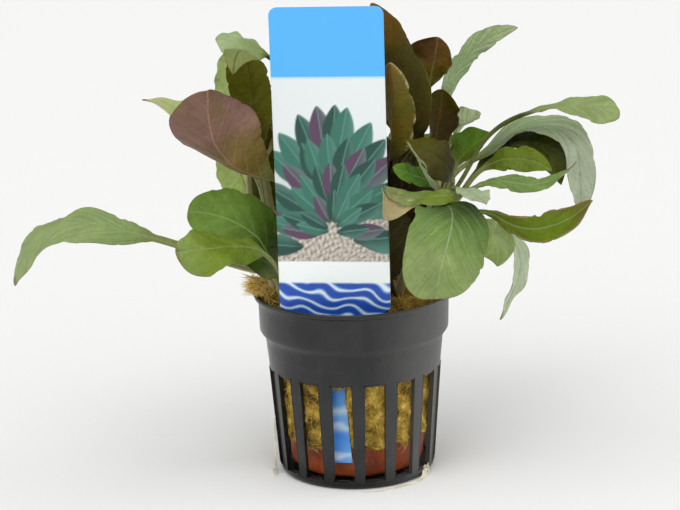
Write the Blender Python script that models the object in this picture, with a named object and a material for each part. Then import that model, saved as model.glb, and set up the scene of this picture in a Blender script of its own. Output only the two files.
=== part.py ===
# Cardinal flower (Lobelia cardinalis) grown for water gardens, in its net pot with its plant label.
# Sizes are in millimetres and angles in degrees, and MM turns the finished shapes into metres.
# The origin is the centre of the pot's underside, +Z is up, and the label faces -Y.

import math

import bmesh
import bpy
import numpy as np
from mathutils import Matrix

MM = 0.001
GAP = 0.3  # kept between pieces that touch

# Net pot: a collar on top, a slightly tapered wall below it, upright slots and a slotted floor.
POT_HEIGHT = 51.7
RIM_RADIUS = 27.9
LIP_HEIGHT = 0.8
COLLAR_TOP_RADIUS = 26.7
COLLAR_TOP = 2.2  # below the rim, where it starts to flare out to the lip
COLLAR_HEIGHT = 11.1
COLLAR_FOOT_RADIUS = 26.5
NECK_RADIUS = 25.1
SLOT_TOP_RADIUS = 24.1
BASE_RADIUS = 21.8
BASE_ROUNDING = 2.0
POT_WALL = 1.0
POT_FLOOR = 1.3
POT_SIDES = 64
SLOT_COUNT = 16
SLOT_WIDTH = 5.8
SLOT_FOOT = 2.5
SLOT_TOP = 30.6
SLOT_TURN = -10.0  # of one slot's middle, from the front toward +X
FLOOR_SLOT_COUNT = 8
FLOOR_SLOT_WIDTH = 3.4
FLOOR_SLOT_REACH = (8.5, 17.5)  # from the axis, so the floor keeps a plain disc in its middle

# Clay ring: it lies on the floor, pushed back by the label's tail.
CLAY_BOTTOM = 1.7
CLAY_TOP = 12.0
CLAY_RADIUS = 18.6
CLAY_HOLE_RADIUS = 7.5
CLAY_SHIFT = 1.2
CLAY_SQUARENESS = 4.0
CLAY_SIDES = 24
CLAY_ROUND_STEPS = 12

# Wool plug: it fills the pot above the ring and stands out over the rim on the left.
WOOL_BOTTOM = CLAY_TOP + GAP
WOOL_TOP = 48.7
WOOL_EDGE_RADIUS = 25.2
WOOL_SIDES = 40
WOOL_LIP = 1.0  # step in which its edge rounds over
LEFT_TUFT = dict(heading=184, spread=12, out=4.4, up=3.4)
RIGHT_TUFT = dict(heading=-49, spread=17, up=3.8)

# Plant label: a flat card whose tail runs down between the wool and the pot's wall.
LABEL_WIDTH = 30.2
LABEL_THICKNESS = 0.5
LABEL_ABOVE_RIM = 81.8
LABEL_CORNER = 2.2
LABEL_CORNER_STEPS = 5
LABEL_SHOULDER = -0.8  # below the rim, where the card starts to narrow
TAIL_TOP = 12.0  # below the rim
TAIL_LENGTH = 44.6  # from the rim to its end
TAIL_WIDTH = 9.0  # at its end
TAIL_SHIFT = -1.1  # of its middle there, from the card's middle
TAIL_SLOPE = 3.0  # by which its right edge stands further in at its top
LABEL_PLACE = (-5.1, -19.1, 51.5)
LABEL_TURN = (1.7, -0.1, -7.9)  # its lean to the front, its tilt and its turn

# Stems: each stands on the wool at its base and leans as its climb and heading say.
STEM_FOOT = WOOL_TOP + GAP
STEM_RINGS = 9
PLANT_LEAN = 1.5  # of all stems and leaves toward +X
STEMS = {
    "stem_left": dict(base=(-16, -8), length=24, radius=1.3, climb=(52, 62, 72), heading=(180,)),
    "stem_left_back": dict(base=(-13, 0), length=46, radius=1.2, climb=(58, 76, 88), heading=(185,)),
    "stem_middle": dict(base=(2, -5), length=46, radius=1.5, climb=(84, 88, 88), heading=(20,)),
    "stem_right": dict(base=(11, -8), length=33, radius=1.4, climb=(72, 68, 64), heading=(-4,)),
    "stem_back": dict(base=(3, 10), length=52, radius=1.4, climb=(80, 84, 86), heading=(60,)),
}

# Leaves: each grows from its stem, "up" along it, as a round stalk that widens into a blade.
# Climb is the rise over the horizon, 90 for straight up, and heading the way it points, 0 for +X and
# -90 for the front. Roll turns the blade about its midrib. Each runs evenly through its values, climb
# and heading from the stem to the tip, and roll from the foot of the blade to the tip.
# Cup lifts the blade's sides from its midrib, skew moves its width to one side, widest places its
# broadest part (1 for the middle, more toward the tip), blunt rounds its ends when it is small, and
# wing is how many times wider than it is thick the stalk is.
STALK_RADIUS = 0.65
STALK_RINGS = 4
BLADE_RINGS = 9
LEAF_SIDES = 8
BLADE_THICKNESS = (2 * STALK_RADIUS, 0.8, 0.45)  # at the foot, past it and at the tip
BLADE_FOOT = 0.15  # of the blade's length, in which the stalk flattens
TIP_RADIUS = 0.35
STEM_CLEARANCE = 0.35
PATH_STEPS = 160
LEAF_DEFAULTS = dict(look="leaf_green", roll=(0,), cup=0.1, skew=0.0, widest=1.1, blunt=0.7, wing=1.0)
LEAVES = {
    "leaf_left_long": dict(
        stem="stem_left", up=12, stalk=32, blade=51, width=13.5, heading=(-150, -205),
        climb=(15, 25, 18, 10, -40, -80), roll=(-85, -25, -50), cup=-0.1, skew=0.1, widest=1.3, blunt=0.6),
    "leaf_left_low": dict(
        stem="stem_left", up=1.5, stalk=20, blade=26, width=14.5, heading=(-109, -179),
        climb=(68, 50, 2, -8), roll=(-60, -20, -90), cup=-0.1, skew=0.1, widest=1.5, blunt=0.55),
    "leaf_left_middle": dict(
        stem="stem_left", up=6, stalk=5, blade=35, width=19, heading=(-115, -217),
        climb=(70, 63, 23, -12), roll=(-80, -60, -60), cup=0.0, widest=0.95, blunt=0.5),
    "leaf_left_purple": dict(
        look="leaf_purple", stem="stem_middle", up=18, stalk=33, blade=39, width=22,
        heading=(-200, -145, -145, -80), climb=(75, 25, 15, 50, 85), roll=(35,), wing=1.5,
        cup=0.6, skew=0.1, widest=1.4, blunt=0.5),
    "leaf_left_olive": dict(
        look="leaf_olive", stem="stem_left_back", up=21, stalk=23, blade=44, width=14, heading=(-125, -105),
        climb=(75, 75, 75, 90, 45, -85), roll=(0, -5, -25), cup=-0.2, widest=1.0, blunt=0.8, wing=1.4),
    "leaf_left_pale": dict(
        look="leaf_bright", stem="stem_left_back", up=24, stalk=29, blade=20, width=15, heading=(165, 145),
        climb=(75, 90, 55, 90), roll=(-25, 0), widest=0.9, blunt=0.5, wing=1.5),
    "leaf_top_left": dict(
        stem="stem_back", up=34, stalk=48, blade=15, width=15, heading=(-133, -178),
        climb=(30, 60, 45, 5), roll=(-30, -20, -30), cup=-0.1, skew=0.1),
    "leaf_left_tip": dict(
        look="leaf_olive", stem="stem_left_back", up=28, stalk=22, blade=28, width=15.5, heading=(-135, -185),
        climb=(85, 45, 40, 5), roll=(45, -20, 5), cup=0.0, blunt=0.8),
    "leaf_left_behind": dict(
        look="leaf_grey", stem="stem_left_back", up=14, stalk=8, blade=30, width=15, heading=(150, 175),
        climb=(60, 65, 75), roll=(-70, -85), cup=-0.1, widest=0.9, blunt=0.8),
    "leaf_tall_brown": dict(
        look="leaf_olive", stem="stem_middle", up=20, stalk=26, blade=43, width=23, heading=(25, -220),
        climb=(45, 75, 85, 65, 60), roll=(-60, 5, 85), cup=-0.2, widest=1.0),
    "leaf_label_side": dict(
        look="leaf_purple", stem="stem_middle", up=13, stalk=31, blade=29, width=12, heading=(-30, -115),
        climb=(95, 60, 75, 70), roll=(-95, -30, 10), cup=0.6, skew=-0.2, widest=0.8),
    "leaf_top_brown": dict(
        look="leaf_olive", stem="stem_right", up=22, stalk=40, blade=15, width=14.5, heading=(160, -75),
        climb=(100, 70, 80, 75), roll=(-75, -85, -40), cup=0.0, skew=-0.1, widest=1.6),
    "leaf_upper_right": dict(
        look="leaf_grey", stem="stem_right", up=27, stalk=31, blade=34, width=7.5, heading=(90, 15),
        climb=(80, 70, 45, 10), roll=(90, 95, 65), skew=0.2, widest=0.7, blunt=0.6),
    "leaf_right_sliver": dict(
        look="leaf_grey", stem="stem_right", up=32, stalk=22, blade=12, width=7, heading=(90, 30),
        climb=(35, 50, 15), roll=(-60, 20, 30), cup=0.6, skew=0.1, widest=1.2, blunt=0.8),
    "leaf_brown_small": dict(
        look="leaf_olive", stem="stem_right", up=25, stalk=20, blade=18, width=12, heading=(125, -80),
        climb=(100, 70, 80, 70), roll=(-45, -20, -40), cup=-0.4, widest=0.9, blunt=0.4),
    "leaf_olive_middle": dict(
        look="leaf_olive", stem="stem_right", up=32, stalk=10, blade=21, width=11, heading=(-45, -215),
        climb=(50, 45, 20), roll=(-95, -70, 5), cup=0.0, widest=1.0),
    "leaf_bright_back": dict(
        look="leaf_bright", stem="stem_right", up=28, stalk=15, blade=14, width=11.5, heading=(65, 5),
        climb=(45, 55, 25), roll=(20,), cup=0.3, skew=0.1, blunt=0.8),
    "leaf_arch": dict(
        look="leaf_grey", stem="stem_right", up=31, stalk=16, blade=49, width=10.5, heading=(15, -55), wing=1.3,
        climb=(95, 30, 40, -5, -80, -88), roll=(20,), cup=0.2, blunt=0.4),
    "leaf_arch_inner": dict(
        look="leaf_olive", stem="stem_right", up=27, stalk=16, blade=34, width=11, heading=(18, -50),
        climb=(38, 57, 42, -25, -80), roll=(45, 20, 80), cup=0.2, skew=0.1, blunt=0.8),
    "leaf_right_high": dict(
        stem="stem_right", up=32, stalk=33, blade=28, width=9.5, heading=(-15, -30), wing=1.5,
        climb=(55, 65, 27, 8, -25), roll=(10, 15, 60), cup=0.0, widest=1.8, blunt=0.55),
    "leaf_right_grey": dict(
        look="leaf_grey", stem="stem_right", up=26, stalk=20, blade=22, width=7.5, heading=(-25, -30),
        climb=(40, 60, 15, -30), roll=(60,), cup=0.0, blunt=0.8),
    "leaf_right_pointed": dict(
        stem="stem_right", up=23.5, stalk=19, blade=34, width=5, heading=(-52, -20),
        climb=(55, 35, -5, 55), roll=(35, 60, 0), skew=-0.1, widest=1.2, blunt=0.8),
    "leaf_right_long": dict(
        look="leaf_bright", stem="stem_right", up=21, stalk=20, blade=37, width=8.5, heading=(-50, -20),
        climb=(15, 45, -25, 20, 50), roll=(85, 75, 25), cup=0.0, widest=1.8, blunt=0.6),
    "leaf_front_big": dict(
        stem="stem_right", up=18, stalk=27, blade=32, width=23, heading=(-65, -72, -205),
        climb=(90, 30, 0, -60, -90), roll=(20, -55, -105), skew=-0.1, widest=1.25, blunt=0.45),
    "leaf_over_label": dict(
        look="leaf_olive", stem="stem_right", up=26, stalk=19, blade=27, width=6,
        heading=(-100, -35, -240, -95), climb=(70, 15, -15, 45), roll=(-40, -30, -85), skew=0.1),
    "leaf_bright_small": dict(
        look="leaf_bright", stem="stem_right", up=30, stalk=8, blade=16, width=5.5, heading=(-65, -150, -155),
        climb=(90, 20, 25), roll=(-75,), cup=0.0, widest=1.2, blunt=0.6),
    "leaf_toward_viewer": dict(
        look="leaf_grey", stem="stem_right", up=27, stalk=18, blade=22, width=8, heading=(-65, -76),
        climb=(70, 5, -5), roll=(-10, 10), widest=1.2, blunt=0.8),
    "leaf_low_right": dict(
        look="leaf_bright", stem="stem_right", up=14, stalk=29, blade=18, width=18, heading=(-90, 18),
        climb=(95, 25, -10, -110), roll=(25, 20, 90), cup=-0.2, skew=0.1, widest=1.2, blunt=1.0),
    "leaf_drooping": dict(
        look="leaf_grey", stem="stem_right", up=19.5, stalk=22, blade=30, width=7.5, heading=(-20, -25),
        climb=(35, 25, -45, -110, -110), roll=(20, 10), cup=0.2, widest=1.0, blunt=0.8),
    "leaf_dark_low": dict(
        look="leaf_olive", stem="stem_right", up=4, stalk=5, blade=26, width=15, heading=(-120, -72),
        climb=(60, 75, 80), blunt=0.8),
    "leaf_back_left": dict(
        stem="stem_left_back", up=31, stalk=17, blade=29, width=15, heading=(95, 115),
        climb=(80, 45, 10, -20), blunt=0.8),
    "leaf_back_left_low": dict(
        stem="stem_left_back", up=5, stalk=6, blade=25, width=13, heading=(110, 160),
        climb=(55, 60, 70), roll=(-90,), blunt=0.8),
    "leaf_back_middle": dict(
        stem="stem_back", up=40, stalk=18, blade=36, width=17, heading=(95, 90),
        climb=(85, 45, 5, -35), blunt=0.8),
    "leaf_back_tall": dict(
        stem="stem_middle", up=6, stalk=8, blade=30, width=15, heading=(40, 10),
        climb=(60, 65, 75), roll=(-90,), blunt=0.8),
    "leaf_back_low": dict(
        stem="stem_back", up=14, stalk=22, blade=30, width=16, heading=(85,),
        climb=(65, 30, 0, -35), blunt=0.8),
    "leaf_back_right": dict(
        stem="stem_back", up=27, stalk=20, blade=32, width=15, heading=(55, 60),
        climb=(80, 45, 5, -35), blunt=0.8),
    "leaf_back_fold": dict(
        stem="stem_back", up=11, stalk=12, blade=28, width=16, heading=(0, 5),
        climb=(60, 55, 60), roll=(-90,), blunt=0.8),
}

# Roots: one thin root on each side, from a slot out over the surface that the pot stands on.
ROOT_RADIUS = 0.35
ROOT_SIDES = 6
ROOT_RINGS = 13
ROOT_START = 4.2  # height in the slot
ROOTS = {
    "roots_left": dict(slot=-55.0, reach=(21.4, 22.8, 24.2, 25.4, 26.8), drift=(0, 0, 4, 9, 11)),
    "roots_right": dict(slot=57.5, reach=(21.4, 22.9, 24.6, 27.0, 30.2), drift=(0, 0, -3, -10, -14)),
}
ROOT_DROP = (1.0, 0.75, 0.2, 0.0, 0.0)  # of its height, from the slot to the end

# Materials: colour, roughness and metallic value.
LOOKS = {
    "pot_plastic": ("#3B3D3D", 0.5, 0.0),
    "wool": ("#A08A45", 0.95, 0.0),
    "clay": ("#6E2F1A", 0.85, 0.0),
    "label_card": ("#9CC8F0", 0.35, 0.0),
    "stem_green": ("#7C7A3C", 0.5, 0.0),
    "leaf_green": ("#7F9F4C", 0.45, 0.0),
    "leaf_bright": ("#8FB53C", 0.4, 0.0),
    "leaf_grey": ("#8FA37C", 0.4, 0.0),
    "leaf_olive": ("#5C5A2C", 0.5, 0.0),
    "leaf_purple": ("#7C5A50", 0.5, 0.0),
    "root_fibre": ("#C9BC94", 0.8, 0.0),
}


def clear_scene():
    for thing in list(bpy.data.objects):
        bpy.data.objects.remove(thing, do_unlink=True)


def linear_colour(code):
    # One sRGB channel c turns into ((c + 0.055) / 1.055) ^ 2.4, or c / 12.92 where it is dark.
    channels = [int(code[i : i + 2], 16) / 255 for i in (1, 3, 5)]
    return [c / 12.92 if c <= 0.04045 else ((c + 0.055) / 1.055) ** 2.4 for c in channels] + [1.0]


def material(look):
    if look in bpy.data.materials:
        return bpy.data.materials[look]
    colour, roughness, metallic = LOOKS[look]
    made = bpy.data.materials.new(look)
    made.use_nodes = True
    shader = made.node_tree.nodes["Principled BSDF"]
    shader.inputs["Base Color"].default_value = linear_colour(colour)
    shader.inputs["Roughness"].default_value = roughness
    shader.inputs["Metallic"].default_value = metallic
    return made


def add_object(name, form, look, sharp=40):
    # The shape was drawn in millimetres, and the object holds it in metres.
    bmesh.ops.recalc_face_normals(form, faces=form.faces)
    bmesh.ops.scale(form, vec=(MM, MM, MM), verts=form.verts)
    mesh = bpy.data.meshes.new(name)
    form.to_mesh(mesh)
    form.free()
    mesh.materials.append(material(look))
    mesh.shade_smooth()
    mesh.set_sharp_from_angle(angle=math.radians(sharp))
    made = bpy.data.objects.new(name, mesh)
    bpy.context.scene.collection.objects.link(made)
    return made


def loft(rings, sheet=False):
    # A closed body through rings that all have the same number of points, with a flat cap at each end.
    # The rings of a thin sheet run over its upper face and back under it, and there both faces are
    # split along the same diagonals, so that they stay apart where the sheet twists.
    form = bmesh.new()
    loops = [[form.verts.new(point) for point in ring] for ring in rings]
    for near, far in zip(loops, loops[1:]):
        count = len(near)
        for i in range(count):
            j = (i + 1) % count
            if not sheet:
                form.faces.new((near[i], near[j], far[j], far[i]))
            elif 2 * i < count:
                form.faces.new((near[i], near[j], far[j]))
                form.faces.new((near[i], far[j], far[i]))
            else:
                form.faces.new((near[i], near[j], far[i]))
                form.faces.new((near[j], far[j], far[i]))
    form.faces.new(loops[0][::-1])
    form.faces.new(loops[-1])
    return form


def circle(sides):
    angles = np.arange(sides) * 2 * math.pi / sides
    return np.cos(angles), np.sin(angles)


def turned(profile, sides):
    # Rings round the Z axis at each (radius, height) of the profile.
    across, along = circle(sides)
    return [np.stack([r * across, r * along, np.full(sides, z)], 1) for r, z in profile]


def spread(values, t):
    # The values stand at even steps from 0 to 1, and t reads between them.
    return np.interp(t, np.linspace(0, 1, len(values)), values)


def path(start, length, climb, heading, t):
    # The direction at each step comes from climb and heading, and the points are its running sum.
    fine = np.linspace(0, 1, PATH_STEPS + 1)
    rise = np.radians(spread(climb, fine))
    turn = np.radians(spread(heading, fine))
    ahead = np.stack([np.cos(rise) * np.cos(turn), np.cos(rise) * np.sin(turn), np.sin(rise)], 1)
    steps = (ahead[1:] + ahead[:-1]) / 2 * length / PATH_STEPS
    points = start + np.vstack([np.zeros(3), np.cumsum(steps, axis=0)])
    at = np.stack([np.interp(t, fine, points[:, k]) for k in range(3)], 1)
    ahead = np.stack([np.interp(t, fine, ahead[:, k]) for k in range(3)], 1)
    ahead /= np.linalg.norm(ahead, axis=1, keepdims=True)
    turn = np.interp(t, fine, turn)
    side = np.stack([-np.sin(turn), np.cos(turn), np.zeros(len(turn))], 1)
    return at, ahead, side


def wall_radius(z):
    # Outside of the pot's wall under the collar.
    heights = (0, SLOT_TOP, POT_HEIGHT - COLLAR_HEIGHT)
    return np.interp(z, heights, (BASE_RADIUS, SLOT_TOP_RADIUS, NECK_RADIUS))


def pot_profile():
    # From the underside up the outside, over the rim and down the inside to the floor.
    collar_foot = POT_HEIGHT - COLLAR_HEIGHT
    turn = np.radians((0, 30, 60, 90))
    corner = [
        (wall_radius(BASE_ROUNDING) - BASE_ROUNDING * (1 - math.sin(a)), BASE_ROUNDING * (1 - math.cos(a)))
        for a in turn
    ]
    return corner + [
        (SLOT_TOP_RADIUS, SLOT_TOP),
        (NECK_RADIUS, collar_foot),
        (COLLAR_FOOT_RADIUS, collar_foot),
        (COLLAR_TOP_RADIUS, POT_HEIGHT - COLLAR_TOP),
        (RIM_RADIUS, POT_HEIGHT - LIP_HEIGHT),
        (RIM_RADIUS, POT_HEIGHT),
        (RIM_RADIUS - POT_WALL, POT_HEIGHT),
        (COLLAR_TOP_RADIUS - POT_WALL, POT_HEIGHT - COLLAR_TOP),
        (COLLAR_FOOT_RADIUS - POT_WALL, collar_foot + POT_WALL),
        (NECK_RADIUS - POT_WALL, collar_foot + POT_WALL),
        (SLOT_TOP_RADIUS - POT_WALL, SLOT_TOP),
        (wall_radius(SLOT_FOOT) - POT_WALL, SLOT_FOOT),
        (wall_radius(SLOT_FOOT) - 2 * POT_WALL, POT_FLOOR),
    ]


def slot_box(form, turn, reach, width, foot, top):
    # A box that stands radially: turn is counted from the front toward +X.
    size = Matrix.Diagonal((reach[1] - reach[0], width, top - foot, 1))
    place = Matrix.Translation(((reach[0] + reach[1]) / 2, 0, (foot + top) / 2))
    turned = Matrix.Rotation(math.radians(turn - 90), 4, "Z")
    bmesh.ops.create_cube(form, size=1, matrix=turned @ place @ size)


def slot_cutter():
    form = bmesh.new()
    wall = (BASE_RADIUS - 4 * POT_WALL, RIM_RADIUS)
    for i in range(SLOT_COUNT):
        slot_box(form, SLOT_TURN + i * 360 / SLOT_COUNT, wall, SLOT_WIDTH, SLOT_FOOT, SLOT_TOP)
    for i in range(FLOOR_SLOT_COUNT):
        turn = i * 360 / FLOOR_SLOT_COUNT
        slot_box(form, turn, FLOOR_SLOT_REACH, FLOOR_SLOT_WIDTH, -POT_FLOOR, 2 * POT_FLOOR - GAP)
    return add_cutter("slot_cutter", form)


def add_cutter(name, form):
    cutter = add_object(name, form, "pot_plastic")
    cutter.hide_render = True
    cutter.display_type = "WIRE"
    return cutter


def cut(body, cutter):
    difference = body.modifiers.new("cut", "BOOLEAN")
    difference.operation = "DIFFERENCE"
    difference.object = cutter


def net_pot():
    pot = add_object("net_pot", loft(turned(pot_profile(), POT_SIDES)), "pot_plastic")
    cut(pot, slot_cutter())


def clay_ring():
    # A squarish section |x/a|^n + |y/b|^n = 1, turned round the ring's own axis.
    middle = (CLAY_RADIUS + CLAY_HOLE_RADIUS) / 2
    across, up = [np.sign(side) * np.abs(side) ** (2 / CLAY_SQUARENESS) for side in circle(CLAY_ROUND_STEPS)]
    radii = middle + across * (CLAY_RADIUS - CLAY_HOLE_RADIUS) / 2
    heights = (CLAY_TOP + CLAY_BOTTOM) / 2 + up * (CLAY_TOP - CLAY_BOTTOM) / 2
    form = bmesh.new()
    rings = turned(zip(radii, heights), CLAY_SIDES)
    loops = [[form.verts.new(point) for point in ring] for ring in rings]
    for near, far in zip(loops, loops[1:] + loops[:1]):
        for i in range(CLAY_SIDES):
            j = (i + 1) % CLAY_SIDES
            form.faces.new((near[i], near[j], far[j], far[i]))
    bmesh.ops.translate(form, vec=(0, CLAY_SHIFT, 0), verts=form.verts)
    add_object("clay_ring", form, "clay", sharp=60)


def tuft(turn, place):
    # 1 at the tuft's heading, and falling off as a bell curve round it.
    away = (turn - place["heading"] + 180) % 360 - 180
    return np.exp(-((away / place["spread"]) ** 2))


def wool_rings():
    # Rings from the bottom up the side, out over the rim at the left tuft, and over the top inward.
    turn = np.arange(WOOL_SIDES) * 360 / WOOL_SIDES
    left = tuft(turn, LEFT_TUFT)
    right = tuft(turn, RIGHT_TUFT)
    # All that stands at the tuft is lifted clear of the rim before it may reach out over it.
    lift = (POT_HEIGHT - WOOL_TOP + WOOL_LIP + GAP) * np.clip(8 * left, 0, 1)
    out = LEFT_TUFT["out"] * np.clip((left - 0.4) / 0.6, 0, 1)
    crest = LEFT_TUFT["up"] * left
    knob = RIGHT_TUFT["up"] * right
    edge = WOOL_EDGE_RADIUS
    neck = POT_HEIGHT - COLLAR_HEIGHT
    steps = [(wall_radius(z) - POT_WALL - GAP, z) for z in (WOOL_BOTTOM, SLOT_TOP, neck)]
    steps += [
        (NECK_RADIUS - POT_WALL - GAP, neck + 2 * POT_WALL),
        (edge - POT_WALL / 2, WOOL_TOP - 4 * WOOL_LIP),
        (edge, WOOL_TOP - WOOL_LIP + lift),
        (edge + out, WOOL_TOP - WOOL_LIP + GAP + lift),
        (edge + out - WOOL_LIP, WOOL_TOP + lift + crest),
        (edge + out / 2 - 4 * WOOL_LIP, WOOL_TOP + left * (lift + 0.7 * crest) + knob),
        (edge - 6.5 * WOOL_LIP, WOOL_TOP + 0.8 * knob),
        (edge - 10 * WOOL_LIP, WOOL_TOP),
        (edge / 3, WOOL_TOP),
    ]
    across, along = np.cos(np.radians(turn)), np.sin(np.radians(turn))
    return [np.stack([r * across, r * along, z + 0 * turn], 1) for r, z in steps]


def wool_plug():
    wool = add_object("wool_plug", loft(wool_rings()), "wool", sharp=80)
    # The pocket starts behind the label and is open to the front, so the tail shows through the slots.
    pocket = place_label(add_cutter("label_pocket", label_form(2 * GAP, -RIM_RADIUS, LABEL_THICKNESS + GAP)))
    cut(wool, pocket)


def round_corner(x, z, size, first):
    turn = np.radians(first + np.linspace(0, 90, LABEL_CORNER_STEPS))
    return [(x + size * math.cos(a), z + size * math.sin(a)) for a in turn]


def label_outline(grow):
    # Corner by corner from the top right, anticlockwise: card, left shoulder, tail, right shoulder.
    half = LABEL_WIDTH / 2 + grow
    top = LABEL_ABOVE_RIM + grow
    tail_left = TAIL_SHIFT - TAIL_WIDTH / 2 - grow
    tail_right = TAIL_SHIFT + TAIL_WIDTH / 2 + grow
    corner = LABEL_CORNER
    points = round_corner(half - corner, top - corner, corner, 0)
    points += round_corner(corner - half, top - corner, corner, 90)
    points += [(-half, -LABEL_SHOULDER), (tail_left, -TAIL_TOP), (tail_left, -TAIL_LENGTH - grow)]
    points += [(tail_right, -TAIL_LENGTH - grow), (tail_right - TAIL_SLOPE, -TAIL_TOP), (half, -LABEL_SHOULDER)]
    return points


def label_form(grow, front, back):
    # The outline stands in the XZ plane and reaches from front to back along Y.
    form = bmesh.new()
    face = form.faces.new([form.verts.new((x, front, z)) for x, z in label_outline(grow)])
    raised = bmesh.ops.extrude_face_region(form, geom=[face])
    moved = [part for part in raised["geom"] if isinstance(part, bmesh.types.BMVert)]
    bmesh.ops.translate(form, vec=(0, back - front, 0), verts=moved)
    return form


def place_label(thing):
    thing.location = [MM * value for value in LABEL_PLACE]
    thing.rotation_euler = [math.radians(value) for value in LABEL_TURN]
    return thing


def plant_label():
    form = label_form(0, -LABEL_THICKNESS / 2, LABEL_THICKNESS / 2)
    place_label(add_object("plant_label", form, "label_card"))


def leaned(points):
    # Turned by a about the Y axis at the stems' feet: x goes to x cos a + z sin a, z to z cos a - x sin a.
    a = math.radians(PLANT_LEAN)
    x, y, z = points[..., 0], points[..., 1], points[..., 2] - STEM_FOOT
    return np.stack([x * math.cos(a) + z * math.sin(a), y, z * math.cos(a) - x * math.sin(a) + STEM_FOOT], -1)


def stem_path(stem, t):
    shape = STEMS[stem]
    return path((*shape["base"], STEM_FOOT), shape["length"], shape["climb"], shape["heading"], t)


def add_stem(name):
    at, ahead, side = stem_path(name, np.linspace(0, 1, STEM_RINGS))
    normal = np.cross(ahead, side)
    across, up = circle(LEAF_SIDES)
    radius = STEMS[name]["radius"]
    rings = [
        leaned(at[i] + radius * (np.outer(across, side[i]) + np.outer(up, normal[i])))
        for i in range(STEM_RINGS)
    ]
    # The foot is cut level: its points slide along the stem to the wool.
    foot = rings[0]
    along = leaned(at[0] + ahead[0]) - leaned(at[0])
    rings[0] = foot + np.outer((STEM_FOOT - foot[:, 2]) / along[2], along)
    add_object(name, loft(rings), "stem_green", sharp=80)


def leaf_start(leaf):
    # On the stem's axis at "up", then out past the stem's surface along the leaf's first heading.
    stem = STEMS[leaf["stem"]]
    at, _, _ = stem_path(leaf["stem"], np.array([leaf["up"] / stem["length"]]))
    climb = math.radians(leaf["climb"][0])
    heading = math.radians(leaf["heading"][0])
    out = stem["radius"] + STEM_CLEARANCE + STALK_RADIUS * abs(math.sin(climb))
    return at[0] + out * np.array([math.cos(heading), math.sin(heading), 0])


def leaf_rings(leaf):
    # The stalk's rings are round. Along the blade, from s = 0 to 1, the half width is
    # width / 2 * sin(pi * s ^ widest) ^ blunt, and each ring is lifted at its sides by the cup.
    s = 1 - (1 - np.linspace(0, 1, BLADE_RINGS + 1)[1:]) ** 1.15
    s = np.concatenate([np.zeros(STALK_RINGS), s])
    length = leaf["stalk"] + leaf["blade"]
    stalk = np.linspace(0, leaf["stalk"], STALK_RINGS)
    t = np.concatenate([stalk, leaf["stalk"] + s[STALK_RINGS:] * leaf["blade"]]) / length
    at, ahead, side = path(leaf_start(leaf), length, leaf["climb"], leaf["heading"], t)
    normal = np.cross(ahead, side)
    roll = np.radians(spread(leaf["roll"], s))[:, None]
    across = side * np.cos(roll) + normal * np.sin(roll)
    above = normal * np.cos(roll) - side * np.sin(roll)
    half = leaf["width"] / 2 * np.sin(math.pi * np.clip(s ** leaf["widest"], 0, 1)) ** leaf["blunt"]
    half = np.maximum(STALK_RADIUS * (1 + (leaf["wing"] - 1) * np.clip(t * length / 4, 0, 1)), half)
    half[-1] = TIP_RADIUS
    thick = np.interp(s, (0, BLADE_FOOT, 1), BLADE_THICKNESS)
    opened = np.clip(s / BLADE_FOOT, 0, 1)
    u, v = circle(LEAF_SIDES)
    rings = []
    for i in range(len(t)):
        x = half[i] * u * (1 + leaf["skew"] * opened[i] * u)
        y = thick[i] / 2 * v + leaf["cup"] * opened[i] * half[i] * np.abs(u) ** 1.6
        rings.append(leaned(at[i] + np.outer(x, across[i]) + np.outer(y, above[i])))
    return rings


def add_leaf(name):
    leaf = LEAF_DEFAULTS | LEAVES[name]
    add_object(name, loft(leaf_rings(leaf), sheet=True), leaf["look"], sharp=80)


def add_root(name):
    # It leaves the slot straight out, drops to the surface and drifts round the pot there.
    root = ROOTS[name]
    t = np.linspace(0, 1, ROOT_RINGS)
    reach = spread(root["reach"], t)
    turn = np.radians(root["slot"] + spread(root["drift"], t) - 90)
    rest = ROOT_RADIUS + GAP / 2
    height = rest + (ROOT_START - rest) * spread(ROOT_DROP, t)
    at = np.stack([reach * np.cos(turn), reach * np.sin(turn), height], 1)
    ahead = np.gradient(at, axis=0)
    ahead /= np.linalg.norm(ahead, axis=1, keepdims=True)
    side = np.cross(ahead, (0, 0, 1))
    side /= np.linalg.norm(side, axis=1, keepdims=True)
    normal = np.cross(side, ahead)
    across, up = circle(ROOT_SIDES)
    rings = [
        at[i] + ROOT_RADIUS * (np.outer(across, side[i]) + np.outer(up, normal[i]))
        for i in range(ROOT_RINGS)
    ]
    add_object(name, loft(rings), "root_fibre", sharp=80)


def main():
    clear_scene()
    net_pot()
    clay_ring()
    wool_plug()
    plant_label()
    for name in STEMS:
        add_stem(name)
    for name in LEAVES:
        add_leaf(name)
    for name in ROOTS:
        add_root(name)


main()
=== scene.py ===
import math

import bpy
import numpy as np
from mathutils import Matrix


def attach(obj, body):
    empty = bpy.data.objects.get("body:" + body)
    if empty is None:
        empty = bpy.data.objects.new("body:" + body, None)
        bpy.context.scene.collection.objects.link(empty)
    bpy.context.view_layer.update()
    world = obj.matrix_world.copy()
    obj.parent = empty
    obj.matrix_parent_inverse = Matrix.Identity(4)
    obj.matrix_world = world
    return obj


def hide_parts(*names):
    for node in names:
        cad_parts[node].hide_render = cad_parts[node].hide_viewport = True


# A cardinal flower grown for ponds and aquariums, in its net pot with its plant label.
# Lengths here are in millimetres and angles in degrees, and mm turns finished points into metres.

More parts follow.
